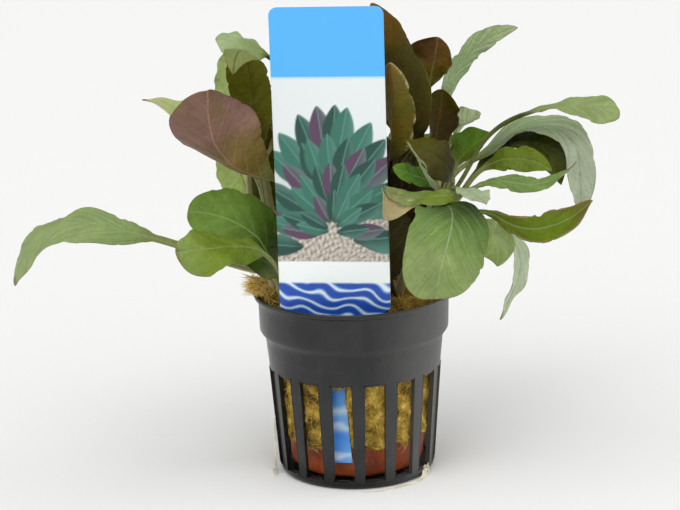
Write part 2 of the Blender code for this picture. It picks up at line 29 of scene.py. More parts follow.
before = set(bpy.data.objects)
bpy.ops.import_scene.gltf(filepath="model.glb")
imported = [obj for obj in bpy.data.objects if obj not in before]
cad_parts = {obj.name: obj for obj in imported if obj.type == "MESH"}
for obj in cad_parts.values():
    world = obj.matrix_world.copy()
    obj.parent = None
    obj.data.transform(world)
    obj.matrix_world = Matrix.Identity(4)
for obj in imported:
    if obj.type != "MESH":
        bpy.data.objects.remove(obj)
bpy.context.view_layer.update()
mm = 0.001
print("frame loaded:", len(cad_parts), "nodes")

# Small tools for shaders

def toLinear(code):
    # One sRGB channel c turns into ((c + 0.055) / 1.055) ^ 2.4, or c / 12.92 where it is dark.
    channels = np.array([int(code[i : i + 2], 16) / 255 for i in (1, 3, 5)])
    light = np.where(channels <= 0.04045, channels / 12.92, ((channels + 0.055) / 1.055) ** 2.4)
    return (*light, 1.0)


def newMaterial(name, **sockets):
    # A Principled shader, with the values that are the same all over set on its own sockets.
    made = bpy.data.materials.new(name)
    made.use_nodes = True
    shader = made.node_tree.nodes["Principled BSDF"]
    for key, value in sockets.items():
        shader.inputs[key.replace("_", " ")].default_value = value
    return made, made.node_tree, shader


def addNode(tree, kind, inputs=None, **settings):
    # Adds one node with its settings, and gives each named input a value or a link from an output.
    made = tree.nodes.new("ShaderNode" + kind)
    for name, value in settings.items():
        setattr(made, name, value)
    for key, value in (inputs or {}).items():
        if isinstance(value, bpy.types.NodeSocket):
            tree.links.new(value, made.inputs[key])
        else:
            made.inputs[key].default_value = value
    return made


def remap(tree, source, low, high, toLow=0.0, toHigh=1.0):
    # The stretch from low to high becomes toLow to toHigh, and values past it stay at its ends.
    return addNode(tree, "MapRange", {0: source, 1: low, 2: high, 3: toLow, 4: toHigh}).outputs[0]


def mixColours(tree, amount, under, over):
    # The colour "under" where the amount is 0, and "over" where it is 1.
    return addNode(tree, "Mix", {0: amount, 6: under, 7: over}, data_type="RGBA").outputs[2]


def calculate(tree, operation, first, second, third=0.0, held=False):
    # One sum, product or other operation. MULTIPLY_ADD is first * second + third.
    made = addNode(tree, "Math", {0: first, 1: second, 2: third}, operation=operation, use_clamp=held)
    return made.outputs[0]


def noise(tree, place, scale, detail, roughness=0.5):
    # Cloudy noise. One cell is 1 / scale of the place's own unit, which is the metre for an object's
    # points and the millimetre for a surface's own coordinates.
    sockets = {"Vector": place, "Scale": scale, "Detail": detail, "Roughness": roughness}
    return addNode(tree, "TexNoise", sockets).outputs["Fac"]


def shaded(tree, colour, value):
    # The colour made lighter or darker by a factor.
    return addNode(tree, "HueSaturation", {"Value": value, "Color": colour}).outputs[0]


def marked(tree, name, kind):
    # A mark or a colour that stands on the mesh's points.
    return addNode(tree, "Attribute", attribute_name=name).outputs[kind]


def bumped(tree, height, strength, distance):
    # Relief in the shading, where a height of 1 stands for the distance in metres.
    sockets = {"Height": height, "Strength": strength, "Distance": distance}
    return addNode(tree, "Bump", sockets).outputs[0]


def dress(tree, shader, **sources):
    # Links each output to the shader's socket of that name.
    for key, source in sources.items():
        tree.links.new(source, shader.inputs[key.replace("_", " ")])


# Small tools for shapes

def pieceName(node):
    # A node's name in camel case: leaf_arch becomes leafArch.
    first, *others = node.split("_")
    return first + "".join(word.title() for word in others)


def addPiece(name, points, faces, looks, node=None, uv=None, marks=None, lookOf=None, flat=None):
    # One mesh from points in millimetres. The marks are named values or colours, one for each point.
    mesh = bpy.data.meshes.new(name)
    mesh.from_pydata((np.asarray(points) * mm).tolist(), [], faces)
    for look in looks:
        mesh.materials.append(look)
    if lookOf is not None:
        mesh.polygons.foreach_set("material_index", np.asarray(lookOf, dtype=np.int32))
    corners = np.zeros(len(mesh.loops), dtype=np.int32)
    mesh.loops.foreach_get("vertex_index", corners)
    if uv is not None:
        layer = mesh.uv_layers.new(name="surfaceMm")
        layer.data.foreach_set("uv", np.asarray(uv, dtype=np.float32)[corners].ravel())
    for key, values in (marks or {}).items():
        values = np.asarray(values, dtype=np.float32)
        kind, field = ("FLOAT", "value") if values.ndim == 1 else ("FLOAT_COLOR", "color")
        mesh.attributes.new(key, kind, "POINT").data.foreach_set(field, values.ravel())
    mesh.shade_smooth()
    if flat:
        mesh.set_sharp_from_angle(angle=math.radians(flat))
    made = bpy.data.objects.new(name, mesh)
    bpy.context.scene.collection.objects.link(made)
    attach(made, "root")
    if node:
        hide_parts(node)
    return made


def bandQuads(rows, count):
    # Quads between closed rings of "count" points, outward where the rings run anticlockwise as seen
    # from the last one.
    i, k = np.meshgrid(np.arange(rows - 1), np.arange(count), indexing="ij")
    near = i * count + k
    side = i * count + (k + 1) % count
    return np.stack([near, side, side + count, near + count], -1).reshape(-1, 4)


def ringFaces(rows, count):
    # The quads between the rings, and caps that are fans to one more point at each end.
    faces = bandQuads(rows, count).tolist()
    first, last = rows * count, (rows - 1) * count
    faces += [(first, (j + 1) % count, j) for j in range(count)]
    faces += [(first + 1, last + j, last + (j + 1) % count) for j in range(count)]
    return faces


def withPoles(rings):
    # The values of all rings, then the middle of the first ring and of the last.
    return np.vstack([rings.reshape(-1, rings.shape[-1]), rings[0].mean(0), rings[-1].mean(0)])


def evenTurns(count):
    # So many angles in radians, evenly round the circle from 0.
    return np.arange(count) * 2 * math.pi / count


def unit(vectors):
    # The same directions with a length of 1.
    return vectors / np.linalg.norm(vectors, axis=-1, keepdims=True)


def repeatFirst(values, rows):
    # The first row is repeated so many times before all of them.
    return np.vstack([np.repeat(values[:1], rows, 0), values])


def spread(values, t):
    # The values stand at even steps from 0 to 1, and t reads between them.
    return np.interp(t, np.linspace(0, 1, len(values)), values)


def ease(low, high, x):
    # 0 below low, 1 above high and a smooth S between them.
    t = np.clip((x - low) / (high - low), 0, 1)
    return t * t * (3 - 2 * t)


def blend(under, over, amount):
    # The colour "under" where the amount is 0, and "over" where it is 1.
    return under + (over - under) * np.clip(amount, 0, 1)[..., None]


def softNoise(points, size, seed):
    # Smooth noise from about -1 to 1: twelve sine waves in random directions, about "size" across.
    waveCount = 12
    rng = np.random.default_rng(seed)
    waves = rng.normal(size=(waveCount, 3))
    waves = unit(waves) * rng.uniform(0.6, 1.7, (waveCount, 1)) * math.pi / size
    phase = rng.uniform(0, 2 * math.pi, waveCount)
    return np.sin(points @ waves.T + phase).sum(-1) / 5


# Camera, floor and light: a plain pale studio. Each lamp shines from its place toward the middle,
# evenly over the floor, and is as wide as a patch of sky of that many degrees, so that its shadows
# are soft. The two low lamps stand for the pale side walls of a light tent. The floor's radius is in
# metres.

view = dict(place=(-3.45, -520.0, 188.6), downward=13.72, roll=-1.5, lens=101.54, sensor=36.0)
studio = dict(
    floorColour="#EFEFEE", floorRadius=6.0, floorSides=96, sky=0.36,
    lamps=(
        dict(place=(-0.50, -0.75, 0.90), strength=1.20, spread=50),
        dict(place=(0.60, -0.65, 0.85), strength=0.80, spread=60),
        dict(place=(0.0, -0.35, 1.0), strength=0.58, spread=60),
        dict(place=(0.95, 0.25, 0.16), strength=1.30, spread=40),
        dict(place=(-0.95, 0.10, 0.20), strength=0.60, spread=50),
    ),
)


def makeCamera():
    # The camera stands in front of the plant, higher than its top, and looks down at it along +Y.
    lens = bpy.data.cameras.new("camera")
    lens.lens = view["lens"]
    lens.sensor_width = view["sensor"]
    camera = bpy.data.objects.new("camera", lens)
    camera.location = [mm * value for value in view["place"]]
    # The roll turns the camera about its own line of sight, after the downward tilt.
    tilt = Matrix.Rotation(math.radians(90 - view["downward"]), 4, "X")
    camera.rotation_euler = (tilt @ Matrix.Rotation(math.radians(view["roll"]), 4, "Z")).to_euler()
    bpy.context.scene.collection.objects.link(camera)
    bpy.context.scene.camera = camera
    bpy.context.scene.view_settings.view_transform = "Standard"


def makeLight():
    # An even white sky and the soft lamps.
    sky = bpy.data.worlds.new("studioSky")
    sky.use_nodes = True
    sky.node_tree.nodes["Background"].inputs["Color"].default_value = (1, 1, 1, 1)
    sky.node_tree.nodes["Background"].inputs["Strength"].default_value = studio["sky"]
    bpy.context.scene.world = sky
    for number, lamp in enumerate(studio["lamps"]):
        light = bpy.data.lights.new(f"softLamp{number}", "SUN")
        light.angle = math.radians(lamp["spread"])
        light.energy = lamp["strength"]
        holder = bpy.data.objects.new(light.name, light)
        holder.location = lamp["place"]
        x, y, z = lamp["place"]
        holder.rotation_euler = (math.atan2(math.hypot(x, y), z), 0, math.atan2(x, -y))
        bpy.context.scene.collection.objects.link(holder)


def makeFloor():
    # Matt paper: an even pale grey with no gloss.
    paper, _, shader = newMaterial("paperBackdrop", Roughness=0.9)
    shader.inputs["Base Color"].default_value = toLinear(studio["floorColour"])
    turn = evenTurns(studio["floorSides"])
    rim = studio["floorRadius"] * np.stack([np.cos(turn), np.sin(turn), 0 * turn], 1)
    mesh = bpy.data.meshes.new("studioFloor")
    mesh.from_pydata(rim.tolist(), [], [list(range(len(rim)))])
    mesh.materials.append(paper)
    floor = bpy.data.objects.new("studioFloor", mesh)
    bpy.context.scene.collection.objects.link(floor)


makeCamera()
makeLight()
makeFloor()
print("studio ready")

# Net pot: injection-moulded polypropylene, one wall with upright slots and a slotted floor. Random
# dust lies all over it, and a lighter grey on its right side, from a set distance right of the axis
# out to the rim, is a painted reflection of the bright surroundings. Its gloss is dulled from the
# floor up to a set height, as painted contact shade. Each smudge has a middle and a size.

pot = dict(
    height=51.7, rimRadius=27.9, lip=0.8, rimRounding=0.45, edge=0.22, wall=1.0, floor=1.3,
    collarTopRadius=26.7, collarTop=2.2, collarHeight=11.1, collarFootRadius=26.5, collarRounding=0.7,
    stepDrop=1.6, stepHeight=2.7, bandFoot=1.2, plainTop=1.9, neckRadius=25.1,
    slotTopRadius=24.1, baseRadius=21.8, baseRounding=2.0, floorRounding=1.0,
    slots=16, slotWidth=5.8, slotFoot=2.5, slotTop=30.6, slotTurn=-10.0,
    floorSlots=8, floorSlotWidth=3.4, floorSlotReach=(8.5, 17.5), floorSlotTurn=0.0,
    colour="#151717", dust="#4A4B49", smudge="#0C0D0D", gloss=(0.24, 0.44),
    footShadeTop=7.0, footShadeShine=0.12, shine=0.45, reflectionFrom=4.0, dustSide=1.6,
    smudges=(((10.2, -23.4, 44.4), 2.6), ((6.3, -23.9, 38.9), 1.7), ((-3.4, -24.8, 38.8), 2.2)),
)
# Grid: one slot with the land beside it takes "slotLines" upright lines, of which "slotSpans" spans
# are the slot. The floor's slots are "floorSpans" wide and start "floorShift" lines later.
potGrid = dict(
    slotLines=12, slotSpans=5, slotRows=26, floorSpans=8, floorRows=8, floorShift=3,
    middleRadii=(1.0, 3.5, 6.0), baseTurns=(0, 22, 45, 68, 90), narrowest=12,
)


def wallRadius(z):
    # Outside of the pot's wall under the collar.
    heights = (0, pot["slotTop"], pot["height"] - pot["collarHeight"])
    return np.interp(z, heights, (pot["baseRadius"], pot["slotTopRadius"], pot["neckRadius"]))


def potPlastic():
    # Black polypropylene, moulded and slightly satin: dark grey with broad soft highlights, a thin
    # layer of dust, a lighter grey on the right side that is a painted reflection, wiped smudges and a
    # fine orange-peel skin.
    look, tree, shader = newMaterial("polypropyleneMoulded", IOR=1.49)
    place = addNode(tree, "TexCoord").outputs["Object"]
    x, _, z = addNode(tree, "SeparateXYZ", {0: place}).outputs
    drawn = addNode(tree, "Mapping", {"Vector": place, "Scale": (1.0, 1.0, 0.16)}).outputs[0]
    dust = remap(tree, noise(tree, place, 70.0, 5.0, 0.62), 0.42, 0.78, 0.0, 0.30)
    streaks = remap(tree, noise(tree, drawn, 230.0, 3.0), 0.5, 0.8, 0.0, 0.10)
    # Painted reflection: a lighter grey that grows toward the right side and stands for the broad
    # reflection of the bright surroundings there. Dust, this and the streaks add up to one amount.
    paintedReflection = remap(tree, x, pot["reflectionFrom"] * mm, pot["rimRadius"] * mm, 0.0, pot["dustSide"])
    dustAndReflection = calculate(tree, "ADD", calculate(tree, "ADD", dust, paintedReflection), streaks, held=True)
    dusty = mixColours(tree, dustAndReflection, toLinear(pot["colour"]), toLinear(pot["dust"]))
    # A smudge is a soft ball round its middle, broken up by noise.
    smudged = 0.0
    for middle, size in pot["smudges"]:
        away = addNode(tree, "VectorMath", {0: place, 1: [mm * v for v in middle]}, operation="DISTANCE")
        spot = remap(tree, away.outputs["Value"], 0.3 * size * mm, size * mm, 1.0, 0.0)
        smudged = calculate(tree, "MAXIMUM", smudged, spot)
    broken = remap(tree, noise(tree, place, 620.0, 3.0), 0.46, 0.60, 0.0, 0.8)
    wiped = calculate(tree, "MULTIPLY", smudged, broken)
    # Near the floor the gloss is dulled up to a set height: painted contact shade at the foot.
    dress(tree, shader,
          Base_Color=mixColours(tree, wiped, dusty, toLinear(pot["smudge"])),
          Roughness=remap(tree, dustAndReflection, 0.0, 0.35, *pot["gloss"]),
          Specular_IOR_Level=remap(tree, z, 0.0, pot["footShadeTop"] * mm, pot["footShadeShine"], pot["shine"]),
          Normal=bumped(tree, noise(tree, place, 900.0, 2.0), 0.10, 0.0003))
    return look


def cornerArc(middle, radius, first, last, steps=4):
    # Points of an arc in the profile plane, angles counted from straight out toward up.
    turn = np.radians(np.linspace(first, last, steps))
    return [(middle[0] + radius * math.cos(a), middle[1] + radius * math.sin(a)) for a in turn]


def potProfile():
    # Points (radius, height) from the middle of the underside round the outside, over the rim and
    # down the inside to the middle of the floor, with the first row of each slotted stretch.
    wall, floor, height, slotTop = pot["wall"], pot["floor"], pot["height"], pot["slotTop"]
    places = ("neck", "collarFoot", "collarTop", "rim")
    neckR, collarR, topR, rimR = (pot[key + "Radius"] for key in places)
    base, rim, inner, foot = (pot[key + "Rounding"] for key in ("base", "rim", "collar", "floor"))
    collarFoot, bandTop = height - pot["collarHeight"], height - pot["collarTop"]
    rise = height - pot["lip"] - bandTop
    slotHeights = np.linspace(pot["slotFoot"], slotTop, potGrid["slotRows"])
    floorRadii = np.linspace(*pot["floorSlotReach"], potGrid["floorRows"])
    first = {"floorOut": len(potGrid["middleRadii"])}
    profile = [(r, 0.0) for r in (*potGrid["middleRadii"], *floorRadii)]
    profile += [(wallRadius(base) - base * (1 - math.sin(a)), base * (1 - math.cos(a)))
                for a in np.radians(potGrid["baseTurns"])]
    first["wallOut"] = len(profile)
    profile += [(wallRadius(z), z) for z in slotHeights]
    profile += [(wallRadius(z), z) for z in np.linspace(slotTop, collarFoot - pot["plainTop"], 7)[1:]]
    stepFoot = collarFoot - pot["stepDrop"]
    profile += [(neckR + (collarR - neckR) * ease(0, 1, t), stepFoot + pot["stepHeight"] * t)
                for t in np.linspace(0.1, 1, 7)]
    profile += [(np.interp(z, (collarFoot, bandTop), (collarR, topR)), z)
                for z in np.linspace(collarFoot + pot["bandFoot"], bandTop, 6)]
    profile += [(topR + (rimR - topR) * ease(0, 1, t), bandTop + rise * t)
                for t in (0.25, 0.5, 0.75, 1.0)]
    profile += cornerArc((rimR - rim, height - rim), rim, 15, 90)
    profile += cornerArc((rimR - wall + rim, height - rim), rim, 90, 180)
    profile += [(topR - wall + (rimR - topR) * ease(0, 1, t), bandTop + rise * t)
                for t in (0.7, 0.35, 0.0)]
    profile += [(collarR - wall, collarFoot + 2 * wall)]
    profile += cornerArc((collarR - wall - inner, collarFoot + wall + inner), inner, 0, -90)
    profile += [(neckR - wall + 0.4, collarFoot + wall - 0.1), (neckR - wall, collarFoot + 0.4)]
    profile += [(wallRadius(z) - wall, z) for z in np.linspace(collarFoot - wall, slotTop, 6)[:-1]]
    first["wallIn"] = len(profile)
    profile += [(wallRadius(z) - wall, z) for z in slotHeights[::-1]]
    profile += cornerArc((wallRadius(pot["slotFoot"]) - wall - foot, floor + foot), foot, -20, -90)
    first["floorIn"] = len(profile)
    profile += [(r, floor) for r in (*floorRadii[::-1], *potGrid["middleRadii"][::-1])]
    return np.array(profile), first


def slotTurns(line, lines, spans, slots, half, start):
    # Angle of each upright line. Of the "lines" in one pitch the first ones share the slot, which
    # reaches "half" to each side of its middle, and the others share the land up to the next slot.
    within = line % lines
    pitch = 2 * math.pi / slots
    inSlot = -half + 2 * half * np.minimum(within, spans) / spans
    onLand = (pitch - 2 * half) * np.maximum(within - spans, 0) / (lines - spans)
    return math.radians(start - 90) + pitch * (line // lines) + inSlot + onLand


def slotWalls(outer, inner, steps, width, starts, count):
    # Quads that close the sides and ends of slots. Row "outer + i" faces row "inner + steps - i".
    walls = []
    for start in starts:
        left, right = start, (start + width) % count
        for i in range(steps):
            a, b = (outer + i) * count, (outer + i + 1) * count
            c, d = (inner + steps - i) * count, (inner + steps - i - 1) * count
            walls.append((a + left, b + left, d + left, c + left))
            walls.append((b + right, a + right, c + right, d + right))
        low, high = outer * count, (outer + steps) * count
        lowIn, highIn = (inner + steps) * count, inner * count
        for k in range(width):
            p, q = (start + k) % count, (start + k + 1) % count
            walls.append((low + q, low + p, lowIn + p, lowIn + q))
            walls.append((high + p, high + q, highIn + q, highIn + p))
    return walls


def makePot():
    # The profile turned round the axis. At each height the upright lines stand so that two of them
    # are a slot's edges, half = asin(slot width / 2 / radius) from the slot's middle, and the faces
    # between those are left out and walled in.
    profile, first = potProfile()
    lines, spans, floorSpans = potGrid["slotLines"], potGrid["slotSpans"], potGrid["floorSpans"]
    count = pot["slots"] * lines
    floorLines = count // pot["floorSlots"]
    rows = len(profile)
    radius, height = profile[:, :1], profile[:, 1:]
    line = np.arange(count)
    floorLine = line - potGrid["floorShift"]
    half = np.arcsin(np.clip(pot["slotWidth"] / 2 / np.maximum(radius, potGrid["narrowest"]), 0, 1))
    narrow = np.arcsin(pot["floorSlotWidth"] / 2 / np.clip(radius, *pot["floorSlotReach"]))
    wallTurn = slotTurns(line, lines, spans, pot["slots"], half, pot["slotTurn"])
    floorTurn = slotTurns(
        floorLine, floorLines, floorSpans, pot["floorSlots"], narrow, pot["floorSlotTurn"])
    # The lines change over from the floor's slots to the wall's in the plain rim of the floor.
    onWall = ease(pot["floorSlotReach"][1] + 0.3, pot["baseRadius"] - 1.6, radius)
    turn = floorTurn + (wallTurn - floorTurn) * onWall
    rings = np.stack([radius * np.cos(turn), radius * np.sin(turn), height + 0 * turn], -1)
    wallSteps, floorSteps = potGrid["slotRows"] - 1, potGrid["floorRows"] - 1
    cut = np.zeros((rows - 1, count), bool)
    for key, steps, slotted in (
        ("wallOut", wallSteps, line % lines < spans),
        ("wallIn", wallSteps, line % lines < spans),
        ("floorOut", floorSteps, floorLine % floorLines < floorSpans),
        ("floorIn", floorSteps, floorLine % floorLines < floorSpans),
    ):
        cut[first[key] : first[key] + steps, slotted] = True
    isCut = np.append(cut.ravel(), np.zeros(2 * count, bool))
    body = [face for face, gone in zip(ringFaces(rows, count), isCut) if not gone]
    starts = [i * lines for i in range(pot["slots"])]
    floorStarts = [(i * floorLines + potGrid["floorShift"]) % count for i in range(pot["floorSlots"])]
    body += slotWalls(first["wallOut"], first["wallIn"], wallSteps, spans, starts, count)
    body += slotWalls(first["floorOut"], first["floorIn"], floorSteps, floorSpans, floorStarts, count)
    made = addPiece("netPot", withPoles(rings), body, [potPlastic()], "net_pot")
    rounded = made.modifiers.new("moulded edges", "BEVEL")
    rounded.width = pot["edge"] * mm
    rounded.segments = 2
    rounded.limit_method = "ANGLE"
    rounded.angle_limit = math.radians(50)


makePot()
print("net pot made")

# Clay ring: fired terracotta that weighs the pot down, seen through the slots under the wool

clay = dict(
    bottom=1.5, top=12.0, radius=19.1, hole=7.5, shift=2.0, squareness=7.0, lump=0.012, dent=0.0044,
    around=160, section=56, colour="#B9531F", dark="#7C3314", dusty="#C98A66",
)


def clayLook():
    # Terracotta, pressed and fired: matt red-brown with darker damp patches and a grainy skin.
    look, tree, shader = newMaterial("terracottaFired", Roughness=0.55)
    place = addNode(tree, "TexCoord").outputs["Object"]
    damp = remap(tree, noise(tree, place, 160.0, 5.0), 0.35, 0.68)
    base = mixColours(tree, damp, toLinear(clay["colour"]), toLinear(clay["dark"]))
    grain = noise(tree, place, 1500.0, 3.0)
    specks = remap(tree, grain, 0.6, 0.75, 0.0, 0.6)
    dress(tree, shader, Base_Color=mixColours(tree, specks, base, toLinear(clay["dusty"])),
          Normal=bumped(tree, grain, 0.35, 0.0004))
    return look


def makeClay():
    # The section is a superellipse |x/a|^n + |y/b|^n = 1, turned round the ring's axis, pressed in
    # a little and dented.
    rows, count = clay["around"], clay["section"]
    turn = evenTurns(rows)[:, None]
    a = evenTurns(count)
    power = 2 / clay["squareness"]
    across = np.sign(np.cos(a)) * np.abs(np.cos(a)) ** power
    up = np.sign(np.sin(a)) * np.abs(np.sin(a)) ** power
    r = (clay["radius"] + clay["hole"]) / 2 + across * (clay["radius"] - clay["hole"]) / 2
    z = (clay["top"] + clay["bottom"]) / 2 + up * (clay["top"] - clay["bottom"]) / 2
    points = np.stack([r * np.cos(turn), r * np.sin(turn), z + 0 * turn], -1)
    middle = np.array([0, 0, (clay["top"] + clay["bottom"]) / 2])
    inward = 1 - clay["lump"] * (1 + softNoise(points, 7, 5)) - clay["dent"] * softNoise(points, 2.5, 6)
    points = middle + (points - middle) * inward[..., None] * (1, 1, 0.97)
    points[..., 1] += clay["shift"]
    i, k = np.meshgrid(np.arange(rows), np.arange(count), indexing="ij")
    ahead, side = (i + 1) % rows, (k + 1) % count
    corners = [i * count + k, ahead * count + k, ahead * count + side, i * count + side]
    faces = np.stack(corners, -1).reshape(-1, 4).tolist()
    addPiece("clayRing", points.reshape(-1, 3), faces, [clayLook()], "clay_ring")


makeClay()
print("clay ring made")

# Plant label: a flat card with a tail that runs down inside the pot's wall. Its heights count from
# the rim, and headerFoot, pictureFoot, stripFoot and tailPrint are where its printed fields end.

label = dict(
    width=30.2, thickness=0.5, edge=0.12, aboveRim=81.8, corner=2.2, cornerSteps=16, shoulder=0.2,
    tailTop=-12.0, tailEnd=-44.6, tailWidth=6.2, tailShift=0.3, tailSlope=2.2,
    place=(-5.1, -19.1, 51.5), turn=(1.7, -0.1, -7.9), columns=97, rowStep=0.31,
    headerFoot=63.4, headLine=0.45, pictureFoot=13.2, stripFoot=7.2, tailPrint=-8.5,
    clouds=((-29.4, 1.5), (-34.2, 1.2), (-42.6, 0.9)),
)
# The picture: a bed of gravel and fans of leaves. Each fan has its number of leaves, its reach from
# the bush's foot and its leaves' length, the outer fan first.
bush = dict(
    bed=15.0, foot=21.5, fans=((15, 23.5, 14.5), (13, 16.0, 13.0), (11, 9.5, 11.0), (7, 3.0, 9.0)),
    lean=96, stray=6, leafHalf=0.21, tones=("leafDark", "leafMid", "leafPlum", "leafMid", "leafDark"),
)
labelInk = dict(
    blue="#57B6F8", headLine="#BDE0FA", white="#F2F8F6", panelTop="#E6ECEC", panelFoot="#CDD5D3",
    gravelLight="#D8D0C4", gravelDark="#8E8478", leafDark="#1E4A41", leafMid="#35705F",
    leafLight="#63988A", leafPlum="#5A3F5A", ripple="#1E4FB4", rippleLight="#7FB8F4",
    tailDeepShaded="#2E7BEA", tailBrightLit="#63B6FF", cloud="#D3ECFA", back="#EEF1F2",
)


def labelFrame():
    # The card's own axes: it leans about X, then tilts about Y, then turns about Z.
    x, y, z = np.radians(label["turn"])
    aboutX = np.array([[1, 0, 0], [0, math.cos(x), -math.sin(x)], [0, math.sin(x), math.cos(x)]])
    aboutY = np.array([[math.cos(y), 0, math.sin(y)], [0, 1, 0], [-math.sin(y), 0, math.cos(y)]])
    aboutZ = np.array([[math.cos(z), -math.sin(z), 0], [math.sin(z), math.cos(z), 0], [0, 0, 1]])
    return aboutZ @ aboutY @ aboutX


def labelSides(z):
    # Left and right edge at each height: round top corners, a card, a sloping shoulder and a tail.
    half, corner = label["width"] / 2, label["corner"]
    rise = np.clip(z - (label["aboveRim"] - corner), 0, corner)
    card = half - corner + np.sqrt(np.maximum(corner ** 2 - rise ** 2, 0))
    t = np.clip((z - label["tailTop"]) / (label["shoulder"] - label["tailTop"]), 0, 1)
    upTail = np.clip((z - label["tailEnd"]) / (label["tailTop"] - label["tailEnd"]), 0, 1)
    tail, middle = label["tailWidth"] / 2, label["tailShift"]
    left = (1 - t) * (middle - tail) - t * card
    right = (1 - t) * (middle + tail - label["tailSlope"] * upTail) + t * card
    return left, right


def bushPrint(colour, ink, x, z):
    # The fans of pointed leaves over the colour that is there, each leaf with a pale midrib.
    rng = np.random.default_rng(34)
    for fan, (count, reach, size) in enumerate(bush["fans"]):
        for number, lean in enumerate(np.linspace(-bush["lean"], bush["lean"], count)):
            lean = math.radians(lean + rng.uniform(-bush["stray"], bush["stray"]))
            footX = math.sin(lean) * reach * 0.34
            footZ = bush["foot"] + math.cos(lean) * reach * 0.86
            aheadX, aheadZ = math.sin(lean * 0.85), math.cos(lean * 0.85)
            along = ((x - footX) * aheadX + (z - footZ) * aheadZ) / size
            aside = (x - footX) * aheadZ - (z - footZ) * aheadX
            half = bush["leafHalf"] * size * np.sin(math.pi * np.clip(along, 0, 1)) ** 0.8
            inside = ease(-0.25, 0.2, half - np.abs(aside)) * (along > 0) * (along < 1)
            tone = ink[bush["tones"][(number * 2 + fan) % len(bush["tones"])]]
            lit = blend(tone, ink["leafLight"], 0.5 * ease(-0.3, 1.2, aside / np.maximum(half, 0.2)))
            lit = blend(lit, ink["leafLight"], 0.7 * ease(0.28, 0.05, np.abs(aside)))
            lit = blend(lit, ink["leafDark"] * 0.5, 0.75 * ease(0.35, 0.0, along))
            colour = blend(colour, lit, inside)
    return colour


def labelPrint(x, z):
    # The printed face, worked out for every point: a blue head, a pale picture of a leafy bush on
    # gravel, a white strip, blue ripples, and a tail of deep blue that pales downward under soft
    # white clouds a few millimetres across and darkens toward its left edge as painted shade of the
    # pot's bar beside it. Each field ends in a soft edge of a few tenths.
    ink = {name: np.array(toLinear(code)) for name, code in labelInk.items()}
    flat = np.stack([x, 0 * x, z], -1)
    up = (z - label["pictureFoot"]) / (label["headerFoot"] - label["pictureFoot"])
    colour = blend(ink["panelFoot"], ink["panelTop"], ease(0.25, 0.8, up))
    bedTop = label["pictureFoot"] + bush["bed"] + 1.4 * softNoise(flat * (1, 0, 0), 9, 31)
    stones = 0.5 + 0.5 * softNoise(flat, 0.8, 32) + 0.35 * softNoise(flat, 0.5, 33)
    gravel = blend(ink["gravelLight"], ink["gravelDark"], stones)
    colour = bushPrint(blend(colour, gravel, ease(0.6, -0.6, z - bedTop)), ink, x, z)
    colour = blend(colour, ink["white"], ease(0.15, -0.15, z - label["pictureFoot"]))
    crest = np.sin(2.1 * (z + 1.2 * softNoise(flat, 5, 35)) + 0.5 * x)
    water = blend(ink["ripple"], ink["rippleLight"], ease(0.1, 0.9, crest))
    water = blend(water, ink["white"], ease(0.75, 1.0, crest))
    colour = blend(colour, water, ease(0.15, -0.15, z - label["stripFoot"]))
    drift = 0.7 * softNoise(flat, 2.2, 39)
    cloud = sum(np.exp(-(((z - at + drift) / size) ** 2)) for at, size in label["clouds"])
    # The tail darkens toward its left edge: painted shade of the pot's bar. The noise varies the print.
    tail = blend(ink["tailDeepShaded"], ink["tailBrightLit"], 0.2 + 0.13 * (x + 3) + 0.4 * softNoise(flat, 4, 38))
    tail = blend(tail, ink["cloud"], 0.8 * cloud)
    colour = blend(colour, tail, ease(0.5, -0.5, z - label["tailPrint"]))
    overLine = z - (label["headerFoot"] - label["headLine"])
    colour = blend(colour, ink["headLine"], ease(-0.1, 0.1, overLine))
    return blend(colour, ink["blue"], ease(-0.15, 0.15, z - label["headerFoot"]))


def labelLook():
    # Printed polypropylene sheet, semi-gloss: clear flat inks under a smooth skin.
    look, tree, shader = newMaterial("printedPlasticSheet", Roughness=0.34, IOR=1.46)
    place = addNode(tree, "TexCoord").outputs["Object"]
    dress(tree, shader, Base_Color=marked(tree, "ink", "Color"),
          Normal=bumped(tree, noise(tree, place, 45.0, 1.0), 0.2, 0.0006))
    return look


def makeLabel():
    # Rings up the card, each with the front from left to right, then the back from right to left.
    # The outer points of each face stand back by "edge", so that the card's edges look rounded.
    straightTop = label["aboveRim"] - label["corner"]
    turn = np.radians(np.linspace(0, 90, label["cornerSteps"]))
    z = np.arange(label["tailEnd"], straightTop, label["rowStep"])
    z = np.append(z, label["aboveRim"] - label["corner"] * (1 - np.sin(turn)))
    left, right = labelSides(z)
    x = left[:, None] + (right - left)[:, None] * np.linspace(0, 1, label["columns"])
    height = z[:, None] + 0 * x
    depth = label["thickness"] / 2
    front = np.stack([x, -depth + 0 * x, height], -1)
    back = np.stack([x, depth + 0 * x, height], -1)[:, ::-1]
    front[:, (0, -1), 1] += label["edge"]
    back[:, (0, -1), 1] -= label["edge"]
    rings = np.concatenate([front, back], 1)
    ink = labelPrint(rings[..., 0], rings[..., 2])
    ink[:, label["columns"] :] = toLinear(labelInk["back"])
    ink = np.vstack([ink.reshape(-1, 4), ink[0, 0], ink[-1, 0]])
    ink[:, 3] = 1
    points = withPoles(rings) @ labelFrame().T + label["place"]
    addPiece("plantLabel", points, ringFaces(len(z), rings.shape[1]), [labelLook()],
             "plant_label", marks={"ink": ink}, flat=35)


makeLabel()
print("plant label made")

# Wool: a plug of gold-coloured mineral wool that fills the pot above the ring. A tuft has a heading, a
# spread and how far it stands out and up. Its fibres are counted here. Painted shade darkens the
# wool on the left side and on top, and painted light brightens the left tuft.

